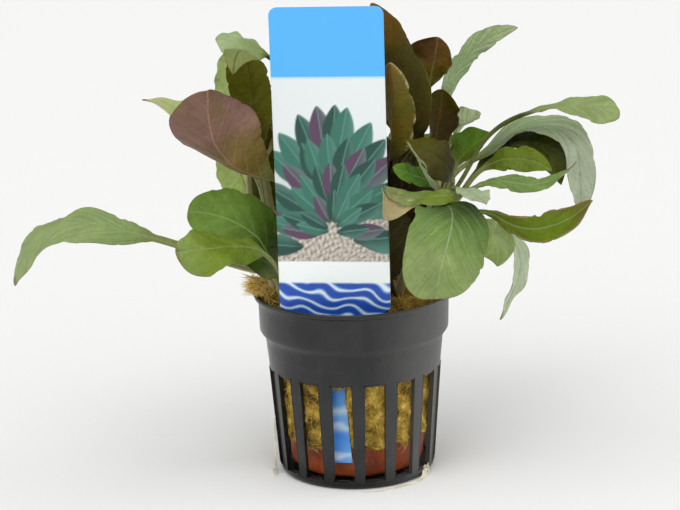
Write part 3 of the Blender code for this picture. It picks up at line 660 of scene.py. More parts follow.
wool = dict(
    bottom=11.4, top=48.7, edgeRadius=25.2, lip=1.0, gap=0.3,
    leftTuft=dict(heading=184, spread=12, out=4.4, up=3.4),
    rightTuft=dict(heading=-49, spread=17, up=3.8),
    lump=0.55, fineLump=0.35, ragged=1.6, around=260, rings=110,
    pale="#FFE08A", light="#EBCB66", mid="#BA9838", dark="#7A6020", fleck="#3E3212",
    sideFibres=6800, topFibres=5200, tuftFibres=1300, hangingFibres=700,
    fibreRadius=0.085, fibreSteps=5, wobble=0.16, fibreRoom=0.15,
    overTail=29.5, tailRoom=0.35, tailReach=12, shadeLeft=0.2, shadeTop=0.4, tuftPaintedLight=0.9,
)
# Places of the outline's corners, from 0 at the foot of the side to 1 at the middle of the top.
woolCorners = np.array((0, 0.26, 0.38, 0.42, 0.47, 0.52, 0.57, 0.62, 0.70, 0.77, 0.84, 0.93, 1.0))


def tuft(turn, place):
    # 1 at the tuft's heading, and falling off as a bell curve round it.
    away = (turn - place["heading"] + 180) % 360 - 180
    return np.exp(-((away / place["spread"]) ** 2))


def woolOutline(turn, step):
    # Radius and height of the plug's skin at each turn in degrees. Step runs through the corners.
    left = tuft(turn, wool["leftTuft"])
    right = tuft(turn, wool["rightTuft"])
    lip, gap, top, edge = wool["lip"], wool["gap"], wool["top"], wool["edgeRadius"]
    lift = (pot["height"] - top + lip + gap) * np.clip(8 * left, 0, 1)
    out = wool["leftTuft"]["out"] * np.clip((left - 0.4) / 0.6, 0, 1)
    crest = wool["leftTuft"]["up"] * left
    knob = wool["rightTuft"]["up"] * right
    neck = pot["height"] - pot["collarHeight"]
    corners = [(wallRadius(z) - pot["wall"] - gap, z) for z in (wool["bottom"], pot["slotTop"], neck)]
    corners += [
        (pot["neckRadius"] - pot["wall"] - gap, neck + 2 * pot["wall"]),
        (edge - pot["wall"] / 2, top - 4 * lip),
        (edge, top - lip + lift),
        (edge + out, top - lip + gap + lift),
        (edge + out - lip, top + lift + crest),
        (edge + out / 2 - 4 * lip, top + left * (lift + 0.7 * crest) + knob),
        (edge - 6.5 * lip, top + 0.8 * knob),
        (edge - 10 * lip, top),
        (edge / 3, top),
        (1.0, top),
    ]
    radii = np.stack([r + 0 * turn for r, z in corners], -1)
    heights = np.stack([z + 0 * turn for r, z in corners], -1)
    at = np.clip(np.searchsorted(woolCorners, step) - 1, 0, len(woolCorners) - 2)
    t = (step - woolCorners[at]) / (woolCorners[at + 1] - woolCorners[at])
    pick = np.arange(len(turn))
    radius = radii[pick, at] * (1 - t) + radii[pick, at + 1] * t
    height = heights[pick, at] * (1 - t) + heights[pick, at + 1] * t
    return radius, height


def behindTail(points):
    # Wool in front of the label's tail is pushed back behind the card, as the tail presses it.
    # From the height "overTail" up to the collar the wool covers the tail.
    local = (points - label["place"]) @ labelFrame()
    left, right = labelSides(local[..., 2])
    room = wool["tailRoom"]
    behind = label["thickness"] / 2 + room
    held = (local[..., 0] > left - room) & (local[..., 0] < right + room)
    held &= local[..., 2] > label["tailEnd"] - room
    height = points[..., 2]
    covered = height > wool["overTail"] + 0.8 * softNoise(points, 2.0, 44)
    covered &= height < pot["height"] - pot["collarHeight"]
    front = (local[..., 1] < behind) & (local[..., 1] > -wool["tailReach"]) & ~covered
    local[..., 1] = np.where(held & front, behind, local[..., 1])
    return local @ labelFrame().T + label["place"]


def woolSkin(turn, step):
    # The outline as points, pressed in and lumpy, with a ragged foot.
    radius, height = woolOutline(turn, step)
    around = np.radians(turn)
    points = np.stack([radius * np.cos(around), radius * np.sin(around), height], -1)
    lumps = wool["lump"] * (softNoise(points, 3.2, 41) - 0.9)
    lumps = lumps + wool["fineLump"] * softNoise(points, 1.3, 42)
    onTop = ease(0.45, 0.7, step)
    shrink = 1 + lumps * (1 - onTop) / np.maximum(radius, 5)
    points[..., :2] *= shrink[..., None]
    points[..., 2] += lumps * 0.9 * onTop
    foot = wool["ragged"] * (softNoise(points * (1, 1, 0), 5, 43) + 0.2)
    points[..., 2] += foot * ease(0.12, 0.0, step)
    return behindTail(points)


def woolLook(name, forFibres):
    # Mineral wool, spun from melted rock and bonded: matt golden fibres with dark gaps and flecks.
    # Single fibres have a tone of their own, and the mass has flecks and relief instead.
    look, tree, shader = newMaterial(name, Roughness=0.95)
    place = addNode(tree, "TexCoord").outputs["Object"]
    clumps = noise(tree, place, 260.0, 6.0, 0.65)
    turned = {"Vector": place, "Scale": (1.0, 1.0, 0.35), "Rotation": (0.5, 0.3, 0.0)}
    strands = noise(tree, addNode(tree, "Mapping", turned).outputs[0], 1900.0, 4.0)
    level = remap(tree, clumps, 0.33, 0.66)
    # For the mass the mark is painted light on the left tuft and painted shade on the left side and on
    # top. A fibre's mark is its own tone plus the same painted light and shade.
    own = marked(tree, "fibreTone" if forFibres else "golden", "Fac")
    if forFibres:
        level = addNode(tree, "Mix", {0: 0.6, 2: level, 3: own}).outputs[0]
    else:
        level = calculate(tree, "ADD", level, own)
    ramp = addNode(tree, "ValToRGB", {"Fac": level})
    # The palest stop is reached mostly by the painted light on the left tuft, and the two darkest also by
    # the painted shade.
    stops = ((0.0, "fleck"), (0.15, "dark"), (0.5, "mid"), (0.85, "light"), (1.0, "pale"))
    for at, code in stops[1:-1]:
        ramp.color_ramp.elements.new(at)
    for element, (at, code) in zip(ramp.color_ramp.elements, stops):
        element.position = at
        element.color = toLinear(wool[code])
    flecks = remap(tree, strands, 0.62, 0.72, 0.0, 0.0 if forFibres else 0.8)
    dress(tree, shader, Base_Color=mixColours(tree, flecks, ramp.outputs[0], toLinear(wool["fleck"])))
    if not forFibres:
        dress(tree, shader, Normal=bumped(tree, calculate(tree, "ADD", clumps, strands), 0.8, 0.001))
    return look


def woolTone(points, golden):
    # Painted light and shade: lighter where the left tuft gets painted light, and darker with painted
    # shade on the left side and on top under the leaves.
    left = ease(6, -16, points[..., 0]) * ease(6, -6, points[..., 1])
    onTop = ease(wool["top"] - 5, wool["top"] - 1, points[..., 2])
    shade = wool["shadeLeft"] * left * (1 - onTop) + wool["shadeTop"] * onTop
    return golden - shade * (1 - np.clip(golden, 0, 1))


def insidePot(points):
    # Points below the rim that would stand in the pot's wall or past it are drawn in toward its axis.
    reach = np.hypot(points[..., 0], points[..., 1])
    neck = pot["height"] - pot["collarHeight"]
    heights = (0, pot["slotTop"], neck, neck + 2 * pot["wall"], pot["height"])
    names = ("baseRadius", "slotTopRadius", "neckRadius", "collarFootRadius", "collarTopRadius")
    room = np.interp(points[..., 2], heights, [pot[name] for name in names])
    held = np.minimum(1, (room - pot["wall"] - wool["fibreRoom"]) / np.maximum(reach, 1))
    held = np.where(points[..., 2] > pot["height"] + 0.2, 1, held)
    return points * np.stack([held, held, 1 + 0 * held], -1)


def addStrands(name, starts, ahead, bend, length, look, rng, golden):
    # Thin three-sided strands. Each point is start + ahead * d + bend * d^2, plus a small wobble, and
    # the strand narrows to its tip.
    count, steps = len(starts), wool["fibreSteps"]
    t = np.linspace(0, 1, steps)
    d = (length[:, None] * t)[..., None]
    wobble = np.cumsum(rng.normal(scale=wool["wobble"], size=(count, steps, 3)), 1)
    wobble = wobble * length[:, None, None] / 4
    line = starts[:, None] + ahead[:, None] * d + bend[:, None] * d ** 2 + wobble * t[:, None]
    line = behindTail(insidePot(line))
    along = unit(np.gradient(line, axis=1))
    side = unit(np.cross(along, rng.normal(size=(count, 1, 3)) + 0 * along))
    over = np.cross(along, side)
    thick = wool["fibreRadius"] * rng.uniform(0.6, 1.25, count)[:, None]
    thick = thick * np.interp(t, (0, 0.6, 1), (1, 0.85, 0.25))
    angles = evenTurns(3)
    across = side[:, :, None] * np.cos(angles)[:, None] + over[:, :, None] * np.sin(angles)[:, None]
    rings = line[:, :, None] + across * thick[..., None, None]
    each = steps * 3
    offsets = np.arange(count)[:, None, None] * each
    faces = (bandQuads(steps, 3) + offsets).reshape(-1, 4).tolist()
    faces += (np.array([[2, 1, 0]]) + offsets).reshape(-1, 3).tolist()
    faces += (np.array([[each - 3, each - 2, each - 1]]) + offsets).reshape(-1, 3).tolist()
    # Each fibre's own tone, plus painted light on the left tuft and painted shade on the left side and on
    # top.
    tone = np.repeat(rng.uniform(0.3, 1, count) + woolTone(starts, golden), each)
    addPiece(name, rings.reshape(-1, 3), faces, [look], marks={"fibreTone": tone})


def scatterWool(name, count, stepRange, seed, look, stand, length, upward, focus=None, golden=0.0):
    # Strands that start on the plug's skin, all round it or near the tuft "focus". "stand" is how
    # far they rise from the skin, and "upward" lifts them.
    rng = np.random.default_rng(seed)
    turn = rng.uniform(0, 360, count)
    if focus is not None:
        turn = rng.normal(focus["heading"], focus["spread"] * 0.75, count)
    step = rng.uniform(*stepRange, count)
    starts = woolSkin(turn, step)
    around = np.radians(turn)
    outward = np.stack([np.cos(around), np.sin(around), 0 * around], -1)
    onTop = ease(0.5, 0.66, step)[:, None]
    normal = outward * (1 - onTop) + np.array([0, 0, 1]) * onTop
    ahead = rng.normal(size=(count, 3))
    ahead = unit(ahead - (ahead * normal).sum(-1, keepdims=True) * normal)
    ahead = unit(ahead + normal * rng.uniform(0, stand, (count, 1)) + np.array([0, 0, upward]))
    lengths = rng.uniform(*length, count)
    bend = rng.normal(scale=0.05, size=(count, 3)) - normal * 0.05
    addStrands(name, starts, ahead, bend, lengths, look, rng, golden)


def makeWool():
    # The skin from its foot to the middle of the top, closed below by two smaller rings.
    count, rows = wool["around"], wool["rings"]
    turns, steps = np.meshgrid(np.linspace(0, 360, count + 1)[:-1], np.linspace(0, 1, rows))
    skin = woolSkin(turns.ravel(), steps.ravel()).reshape(rows, count, 3)
    foot = skin[:1] * np.array([0.6, 0.6, 1])
    foot[..., 2] = wool["bottom"] + wool["gap"]
    core = foot * np.array([0.3, 0.3, 1])
    rings = np.concatenate([core, foot, skin])
    # Mask of the left tuft's painted light, with painted shade added next.
    tufted = tuft(turns, wool["leftTuft"]) * ease(0.45, 0.6, steps)
    golden = woolTone(rings, np.concatenate([0 * tufted[:2], tufted]))
    points, faces = withPoles(rings), ringFaces(len(rings), count)
    addPiece("woolPlug", points, faces, [woolLook("mineralWoolMass", False)], "wool_plug",
             marks={"golden": np.append(golden.ravel(), (0, 0))})
    fibres = woolLook("mineralWoolFibre", True)
    scatterWool("woolFibresSide", wool["sideFibres"], (0.0, 0.27), 51, fibres, 0.12, (1.5, 3.6), 0.0)
    scatterWool("woolFibresTop", wool["topFibres"], (0.45, 0.97), 52, fibres, 0.7, (2.0, 4.5), 0.1)
    # The left tuft's fibres get painted light.
    scatterWool("woolFibresLeft", wool["tuftFibres"], (0.5, 0.74), 53, fibres, 0.45, (1.8, 4.4), 0.0,
                wool["leftTuft"], wool["tuftPaintedLight"])
    scatterWool("woolFibresRight", wool["hangingFibres"], (0.55, 0.8), 54, fibres, 1.0, (2.0, 4.0), 0.3,
                wool["rightTuft"])


makeWool()
print("wool made")

# Stems: short green stems that stand in the wool. Climb is the rise over the horizon and heading the
# way it points, and each runs evenly through its values from the foot to the tip.

stems = {
    "stem_left": dict(
        base=(-16, -8), length=24, radius=1.3, climb=(52, 62, 72), heading=(180,), tone="pale"),
    "stem_left_back": dict(base=(-13, 0), length=46, radius=1.2, climb=(58, 76, 88), heading=(185,)),
    "stem_middle": dict(base=(2, -5), length=46, radius=1.5, climb=(84, 88, 88), heading=(20,)),
    "stem_right": dict(base=(11, -8), length=33, radius=1.4, climb=(72, 68, 64), heading=(-4,)),
    "stem_back": dict(base=(3, 10), length=52, radius=1.4, climb=(80, 84, 86), heading=(60,)),
}
# The plant leans toward +X about the Y axis at the stems' feet, and a stem goes on down into the
# wool by "sunk". Its nodes are swellings at an even pitch.
stemFinish = dict(
    foot=49.0, lean=1.5, clearance=0.35, sunk=5.0, sunkRows=5, rows=90, sides=20, ribs=5, ridge=0.07,
    node=0.22, nodePitch=7.5, nodeWidth=0.8, taper=0.12, tipLength=1.2,
    green="#8A8F4A", purple="#6B4A3A", pale="#B4AC74",
)


def pathAlong(start, length, climb, heading, t):
    # The direction at each step comes from climb and heading, and the points are its running sum.
    steps = 320
    fine = np.linspace(0, 1, steps + 1)
    rise = np.radians(spread(climb, fine))
    turn = np.radians(spread(heading, fine))
    ahead = np.stack([np.cos(rise) * np.cos(turn), np.cos(rise) * np.sin(turn), np.sin(rise)], 1)
    moves = (ahead[1:] + ahead[:-1]) / 2 * length / steps
    points = start + np.vstack([np.zeros(3), np.cumsum(moves, axis=0)])
    at = np.stack([np.interp(t, fine, points[:, k]) for k in range(3)], 1)
    ahead = unit(np.stack([np.interp(t, fine, ahead[:, k]) for k in range(3)], 1))
    turn = np.interp(t, fine, turn)
    side = np.stack([-np.sin(turn), np.cos(turn), 0 * turn], 1)
    return at, ahead, side


def leaned(points):
    # Turned by a about the Y axis: x goes to x cos a + z sin a, and z to z cos a - x sin a.
    a = math.radians(stemFinish["lean"])
    foot = stemFinish["foot"]
    x, y, z = points[..., 0], points[..., 1], points[..., 2] - foot
    return np.stack([x * math.cos(a) + z * math.sin(a), y, z * math.cos(a) - x * math.sin(a) + foot], -1)


def stemLine(name, t):
    # The middle line of the stem, up from its base on the wool.
    shape = stems[name]
    base = (*shape["base"], stemFinish["foot"])
    return pathAlong(base, shape["length"], shape["climb"], shape["heading"], t)


def stemLook(name, tone):
    # Herb stem, grown: smooth ribbed green skin with purplish patches toward the wool.
    look, tree, shader = newMaterial(name, Roughness=0.45)
    surface = addNode(tree, "UVMap", uv_map="surfaceMm").outputs[0]
    height = addNode(tree, "SeparateXYZ", {0: surface}).outputs[1]
    low = remap(tree, height, 2.0, 22.0, 1.0, 0.15)
    spotted = calculate(tree, "MULTIPLY", low, noise(tree, surface, 0.35, 4.0))
    purple = calculate(tree, "MULTIPLY", spotted, 1.5, held=True)
    drawn = addNode(tree, "Mapping", {"Vector": surface, "Scale": (3.0, 0.12, 1.0)}).outputs[0]
    dress(tree, shader,
          Base_Color=mixColours(tree, purple, toLinear(stemFinish[tone]), toLinear(stemFinish["purple"])),
          Normal=bumped(tree, noise(tree, drawn, 1.0, 3.0), 0.5, 0.0002))
    return look


def makeStem(name, shape, look):
    # Round sections along the path, with low ribs, a swelling at each node and a rounded top.
    rows, sides, sunkRows = stemFinish["rows"], stemFinish["sides"], stemFinish["sunkRows"]
    t = np.linspace(0, 1, rows)
    at, ahead, side = stemLine(name, t)
    down = np.linspace(1, 0, sunkRows + 1)[:-1, None] * stemFinish["sunk"]
    at = np.vstack([at[0] - ahead[0] * down, at])
    normal = repeatFirst(np.cross(ahead, side), sunkRows)[:, None]
    side = repeatFirst(side, sunkRows)[:, None]
    along = np.concatenate([-down[:, 0], t * shape["length"]])
    pitch = stemFinish["nodePitch"]
    nodes = np.exp(-(((along % pitch) - (pitch - 0.1) / 2) / stemFinish["nodeWidth"]) ** 2)
    end = np.sqrt(np.clip((shape["length"] - along) / stemFinish["tipLength"], 0.02, 1))
    taper = 1 - stemFinish["taper"] * along / shape["length"]
    radius = shape["radius"] * end * taper + stemFinish["node"] * nodes * end
    a = evenTurns(sides)
    reach = radius[:, None] * (1 + stemFinish["ridge"] * np.cos(stemFinish["ribs"] * a))
    rings = at[:, None] + (reach * np.cos(a))[..., None] * side + (reach * np.sin(a))[..., None] * normal
    uv = np.stack([reach * a, along[:, None] + 0 * reach], -1)
    uv = np.vstack([uv.reshape(-1, 2), uv[0, :1], uv[-1, :1]])
    points, faces = leaned(withPoles(rings)), ringFaces(len(rings), sides)
    addPiece(pieceName(name), points, faces, [look], name, uv=uv)


stemLooks = {"green": stemLook("freshStem", "green"), "pale": stemLook("paleStem", "pale")}
for name, shape in stems.items():
    makeStem(name, shape, stemLooks[shape.get("tone", "green")])
print("stems made")

# In some rows a blade's colours darken toward its foot as painted shade near the plant's middle.
# Leaves: each grows from its stem, "up" along it, as a round stalk that widens into a blade.
# Climb is the rise over the horizon, 90 for straight up, and heading the way it points, 0 for +X and
# -90 for the front. Roll turns the blade about its midrib. Each runs evenly through its values.
# Cup lifts the blade's sides from its midrib, skew moves its width to one side, widest places its
# broadest part, and blunt rounds its ends when it is small. Wing makes the stalk so many times wider
# than it is thick. Curl rolls the two margins up or down, in degrees from the foot to the tip.
# Ruffle and waves make the margin wavy, teeth and scallop cut it, uneven gives it broad lobes, and
# slant leans the side veins along the blade.
# Slot names a material slot, which nothing here reads. Upper, under, stalkTone and vein name the
# colours of the two faces, of the stalk and of the veins, which run evenly from the foot to the tip.
# Edge is the colour of the thin margin, and rim its width against the usual 0.3. bloom is how
# much painted grey sheen lies on the skin, blush a second colour in blotches and blushed how strong
# it is, and tip how much of the end is brown.
# What a row leaves out stands in leafDefaults.
# A row whose name starts with leaf replaces the solid of that name. The other rows are small leaves,
# stalks and folds that fill the plant and have no solid.

leafSizes = dict(
    stalkRadius=0.65, rowStep=0.45, leastRows=44, stalkStep=1.3, footRows=5, around=56,
    thickness=(1.3, 0.55, 0.4), thinnest=0.12, foot=0.15, groove=0.22, ridge=0.5, ribWidth=0.45,
    veinPitch=5.0, quilt=0.09, toothPitch=1.7, scallopPitch=5.3, curlStart=0.55, clasp=4.5,
    buckle=0.32, buckleSize=6.5, blushSize=8.0,
)
leafDefaults = dict(
    stem="stem_right", roll=(0,), wing=1.0, cup=0.1, skew=0.0, widest=1.1, blunt=0.8, curlLeft=(0,),
    curlRight=(0,), ruffle=0.5, waves=3.0, teeth=0.26, scallop=0.22, uneven=0.45, slant=1.3,
    slot="leaf_green", upper="meadow", under="pale", stalkTone="straw khaki", vein="pale", edge="hazel",
    rim=1.0, bloom=0.0, blush="khaki", blushed=0.25, tip=0.3,
)
leaves = {
    "leaf_left_long": dict(
        stem="stem_left", up=12, stalk=32, blade=51, width=13.5, heading=(-150, -205),
        climb=(15, 25, 18, 10, -40, -80), roll=(-85, -25, -50), wing=1.6, cup=-0.1, skew=0.1,
        widest=1.3, blunt=0.6, curlLeft=(0, 10, 40), curlRight=(0, 20, 10), ruffle=0.7, slant=3.2,
        upper="meadow sage sage", bloom=0.12, tip=1.0),
    "leaf_left_low": dict(
        stem="stem_left", up=1.5, stalk=20, blade=26, width=14.5, heading=(-109, -179),
        climb=(68, 50, 2, -8), roll=(-60, -20, -90), cup=-0.1, skew=0.1, widest=1.5, blunt=0.46,
        scallop=0.35, uneven=0.8, upper="lime lime fresh sage", blush="sage", blushed=0.3, tip=0.6),
    # Its darker colour toward the blade's foot is painted shade.
    "leaf_left_middle": dict(
        stem="stem_left", up=6, stalk=5, blade=35, width=19, heading=(-115, -217),
        climb=(70, 63, 23, -12), roll=(-80, -60, -60), cup=0.0, widest=0.95, blunt=0.44, ruffle=0.8,
        uneven=0.7, upper="forest forest meadow meadow", blush="fresh"),
    "leaf_left_purple": dict(
        stem="stem_middle", up=18, stalk=33, blade=39, width=22, heading=(-200, -145, -145, -80),
        climb=(75, 25, 15, 50, 85), roll=(35,), wing=1.5, cup=0.6, skew=0.1, widest=1.4, blunt=0.5,
        ruffle=0.3, slot="leaf_purple", upper="forest", under="olive hazel mauve mauve",
        stalkTone="khaki", vein="rose", edge="plum", blush="hazel", blushed=0.8),
    "leaf_left_olive": dict(
        stem="stem_left_back", up=21, stalk=23, blade=44, width=14, heading=(-125, -105),
        climb=(75, 75, 75, 90, 45, -85), roll=(0, -5, -25), wing=1.4, cup=-0.2, widest=1.0, ruffle=0.4,
        slot="leaf_olive", upper="khaki", under="olive lichen", vein="moss", blush="moss", blushed=0.2),
    "leaf_left_pale": dict(
        stem="stem_left_back", up=24, stalk=29, blade=20, width=15, heading=(165, 145),
        climb=(75, 90, 55, 90), roll=(-25, 0), wing=1.5, widest=0.9, blunt=0.5, scallop=0.4,
        slot="leaf_bright", upper="pear", stalkTone="straw straw", vein="sage", blush="sage"),
    "leaf_top_left": dict(
        stem="stem_back", up=34, stalk=48, blade=15, width=15, heading=(-133, -178),
        climb=(30, 60, 45, 5), roll=(-30, -20, -30), cup=-0.1, skew=0.1, blunt=0.7, upper="sage mist",
        stalkTone="moss moss"),
    "leaf_left_tip": dict(
        stem="stem_left_back", up=28, stalk=22, blade=28, width=15.5, heading=(-135, -185),
        climb=(85, 45, 40, 5), roll=(45, -20, 5), cup=0.0, slot="leaf_olive", upper="sage pear straw",
        under="sage pear straw", stalkTone="straw straw", blush="sage", tip=1.0),
    "leaf_left_behind": dict(
        stem="stem_left_back", up=14, stalk=8, blade=30, width=15, heading=(150, 175),
        climb=(60, 65, 75), roll=(-70, -85), cup=-0.1, widest=0.9, slot="leaf_grey", upper="pear",
        under="pear"),
    "leaf_tall_brown": dict(
        stem="stem_middle", up=20, stalk=26, blade=43, width=23, heading=(25, -220),
        climb=(45, 75, 85, 65, 60), roll=(-60, 5, 85), cup=-0.2, widest=1.0, blunt=0.7,
        slot="leaf_olive", upper="forest", under="bark olive olive rust", stalkTone="bark bark",
        vein="umber", rim=2.0, blush="umber", blushed=0.3),
    "leaf_label_side": dict(
        stem="stem_middle", up=13, stalk=31, blade=29, width=12, heading=(-30, -115),
        climb=(95, 60, 75, 70), roll=(-95, -30, 10), cup=0.6, skew=-0.2, widest=0.8, blunt=0.7,
        slot="leaf_purple", upper="forest", under="olive olive hazel", stalkTone="bark bark",
        vein="umber", edge="straw", rim=1.6, blush="umber", blushed=0.6),
    "leaf_top_brown": dict(
        up=22, stalk=40, blade=15, width=14.5, heading=(160, -75), climb=(100, 70, 80, 75),
        roll=(-75, -85, -40), cup=0.0, skew=-0.1, widest=1.6, blunt=0.7, curlLeft=(0, -40, -90),
        curlRight=(0, -40, -90), slot="leaf_olive", upper="silver", under="olive umber",
        stalkTone="bark moss", vein="khaki", edge="silver", rim=3.0, blush="plum", blushed=0.4),
    "leaf_upper_right": dict(
        up=27, stalk=31, blade=34, width=7.5, heading=(90, 15), climb=(80, 70, 45, 10),
        roll=(90, 95, 65), skew=0.2, widest=0.7, blunt=0.6, slant=3.5, slot="leaf_grey",
        upper="meadow meadow sage", bloom=0.28, blush="meadow"),
    "leaf_right_sliver": dict(
        up=32, stalk=22, blade=12, width=7, heading=(90, 30), climb=(35, 50, 15), roll=(-60, 20, 30),
        cup=0.6, skew=0.1, widest=1.2, slot="leaf_grey", upper="sage", bloom=0.3),
    "leaf_brown_small": dict(
        up=25, stalk=20, blade=18, width=12, heading=(125, -80), climb=(100, 70, 80, 70),
        roll=(-45, -20, -40), cup=-0.4, widest=0.9, blunt=0.4, curlLeft=(0, -60, -100),
        slot="leaf_olive", upper="khaki", under="bark bark olive", stalkTone="bark moss", vein="umber",
        blush="umber"),
    "leaf_olive_middle": dict(
        up=32, stalk=10, blade=21, width=11, heading=(-45, -215), climb=(50, 45, 20),
        roll=(-95, -70, 5), cup=0.0, widest=1.0, blunt=0.7, slot="leaf_olive", upper="soil olive",
        under="soil olive", vein="moss", edge="olive", blush="bark", blushed=0.6),
    "leaf_bright_back": dict(
        up=28, stalk=15, blade=14, width=11.5, heading=(65, 5), climb=(45, 55, 25), roll=(20,), cup=0.3,
        skew=0.1, slot="leaf_bright", upper="moss emerald emerald", vein="fresh", blush="fresh",
        blushed=0.4),
    "leaf_arch": dict(
        up=31, stalk=16, blade=49, width=10.5, heading=(15, -55), climb=(95, 30, 40, -5, -80, -88),
        roll=(20,), wing=1.3, cup=0.2, blunt=0.4, slant=3.6, slot="leaf_grey",
        upper="forest meadow silver silver", under="olive", vein="meadow", bloom=0.32, blush="meadow"),
    "leaf_arch_inner": dict(
        up=27, stalk=16, blade=34, width=11, heading=(18, -50), climb=(38, 57, 42, -25, -80),
        roll=(45, 20, 80), cup=0.2, skew=0.1, slant=3.0, slot="leaf_olive", upper="moss", under="moss",
        vein="olive"),
    "leaf_right_high": dict(
        up=32, stalk=33, blade=28, width=9.5, heading=(-15, -30), climb=(55, 65, 27, 8, -25),
        roll=(10, 15, 60), wing=1.5, cup=0.0, widest=1.8, blunt=0.55, uneven=0.15, slant=2.5,
        upper="meadow sage sage", stalkTone="khaki moss", bloom=0.1),
    "leaf_right_grey": dict(
        up=26, stalk=20, blade=22, width=7.5, heading=(-25, -30), climb=(40, 60, 15, -30), roll=(60,),
        cup=0.0, slant=3.0, slot="leaf_grey", upper="moss lime lime", vein="khaki"),
    "leaf_right_pointed": dict(
        up=23.5, stalk=19, blade=34, width=5, heading=(-52, -20), climb=(55, 35, -5, 55),
        roll=(35, 60, 0), skew=-0.1, widest=1.2, slant=3.0, bloom=0.08),
    "leaf_right_long": dict(
        up=21, stalk=20, blade=37, width=8.5, heading=(-50, -20), climb=(15, 45, -25, 20, 50),
        roll=(85, 75, 25), cup=0.0, widest=1.8, blunt=0.6, slant=2.6, slot="leaf_bright",
        upper="lime lime lime lime hazel", edge="rose", rim=2.5, blush="olive", blushed=0.5),
    # Its upper colours paint shade at the blade's foot, where it bends over, and a pale grey sheen over
    # its middle.
    "leaf_front_big": dict(
        up=18, stalk=27, blade=31.5, width=23, heading=(-68, -75, -166), climb=(90, 30, 0, -60, -90),
        roll=(20, -50, -88), skew=-0.04, widest=1.25, blunt=0.34, ruffle=0.4, uneven=0.25, slant=1.6,
        upper="forest forest emerald meadow sage sage sage", stalkTone="straw forest",
        vein="sage mist sage", bloom=0.08, blush="meadow", blushed=0.3),
    "leaf_over_label": dict(
        up=26, stalk=19, blade=27, width=6, heading=(-100, -35, -240, -95), climb=(70, 15, -15, 45),
        roll=(-40, -30, -85), skew=0.1, widest=0.85, blunt=0.7, slot="leaf_olive",
        upper="fresh fresh sage straw", under="khaki", edge="sage"),
    "fold_tan": dict(
        up=25.6, stalk=21, blade=25.5, width=7.0, heading=(-100, -36, -238, -97),
        climb=(70, 15, -15, 42), roll=(-90,), skew=0.9, widest=2.6, blunt=2.0, ruffle=0.2, scallop=0.1,
        slot="leaf_olive", upper="tan", under="tan", vein="straw", edge="straw", tip=0.0),
    "leaf_bright_small": dict(
        up=30, stalk=8, blade=16, width=5.5, heading=(-65, -150, -155), climb=(90, 20, 25), roll=(-75,),
        cup=0.0, widest=1.3, blunt=0.5, slot="leaf_bright", upper="vivid", vein="sage", bloom=0.06,
        blush="forest"),
    "strip_grey": dict(
        up=30, stalk=9, blade=21, width=3.2, heading=(-82, -95, -158, -168), climb=(50, 28, 58, 60),
        blunt=0.9, slot="leaf_grey", upper="mist silver", bloom=0.2, blush="sage"),
    "leaf_toward_viewer": dict(
        up=27, stalk=18, blade=22, width=8, heading=(-65, -76), climb=(70, 5, -5), roll=(-10, 10),
        widest=1.2, slot="leaf_grey", upper="mist", bloom=0.2),
    "leaf_low_right": dict(
        up=14, stalk=29, blade=18, width=18, heading=(-90, 18), climb=(95, 25, -10, -110),
        roll=(25, 20, 90), cup=-0.2, skew=0.1, widest=1.2, blunt=1.0, slot="leaf_bright", upper="sage",
        blush="lime", blushed=0.3),
    "leaf_drooping": dict(
        up=19.5, stalk=22, blade=30, width=7.5, heading=(-20, -25), climb=(35, 25, -45, -110, -110),
        roll=(20, 10), cup=0.2, widest=1.0, slant=3.0, slot="leaf_grey", upper="mist", vein="meadow",
        bloom=0.42, blush="sage", blushed=0.1),
    # Its near-black colour is painted shade over the stalks deep in the plant.
    "leaf_dark_low": dict(
        up=4, stalk=5, blade=26, width=15, heading=(-120, -72), climb=(60, 75, 80), slot="leaf_olive",
        upper="bark", under="bark", stalkTone="bark", vein="umber", blush="olive"),
    # inner_dark, inner_shade and inner_left are dark leaves put where the middle of the plant lies in
    # shade: painted shade.
    "inner_dark": dict(
        up=9, stalk=5, blade=34, width=20, heading=(110, 140), climb=(60, 80, 85), cup=0.2,
        slot="leaf_olive", upper="bark", under="bark", stalkTone="bark", vein="umber", blush="umber"),
    "inner_shade": dict(
        up=14, stalk=6, blade=33, width=18, heading=(-170, 160), climb=(70, 85, 88), roll=(90,),
        blunt=0.7, slot="leaf_olive", upper="soil bark", under="soil bark", stalkTone="soil",
        vein="umber", blush="bark"),
    "inner_left": dict(
        stem="stem_left_back", up=14, stalk=6, blade=33, width=9, heading=(185, 170),
        climb=(75, 88, 90), roll=(90,), blunt=0.7, slot="leaf_olive", upper="moss olive",
        under="moss olive", stalkTone="umber", vein="olive", blush="bark"),
    "stalk_straw": dict(
        stem="stem_left", up=10, stalk=29, blade=14, width=7, heading=(170, 160), climb=(70, 85, 88),
        wing=2.2, blunt=0.7, upper="sage", stalkTone="straw straw"),
    "young_back_left": dict(
        stem="stem_back", up=51, stalk=2, blade=13, width=4.5, heading=(120, 150), climb=(80, 70, 50),
        upper="lime fresh"),
    "young_back_right": dict(
        stem="stem_back", up=50, stalk=2, blade=11, width=4, heading=(20, -10), climb=(80, 75, 60),
        upper="lime fresh"),
    "young_back_rear": dict(
        stem="stem_back", up=48, stalk=3, blade=16, width=6, heading=(80, 95), climb=(70, 60, 35),
        upper="fresh meadow"),
    "young_left_rear": dict(
        stem="stem_left_back", up=44, stalk=3, blade=14, width=5, heading=(80, 110), climb=(80, 70, 45),
        upper="lime fresh"),
    "young_left_front": dict(
        stem="stem_left_back", up=45, stalk=2, blade=10, width=4, heading=(10, 30), climb=(80, 80, 70),
        upper="lime fresh"),
    "young_middle_rear": dict(
        stem="stem_middle", up=44, stalk=3, blade=14, width=5, heading=(100, 70), climb=(80, 75, 50),
        upper="lime fresh"),
    "rear_low": dict(
        stem="stem_back", up=8, stalk=15, blade=30, width=15, heading=(150, 110),
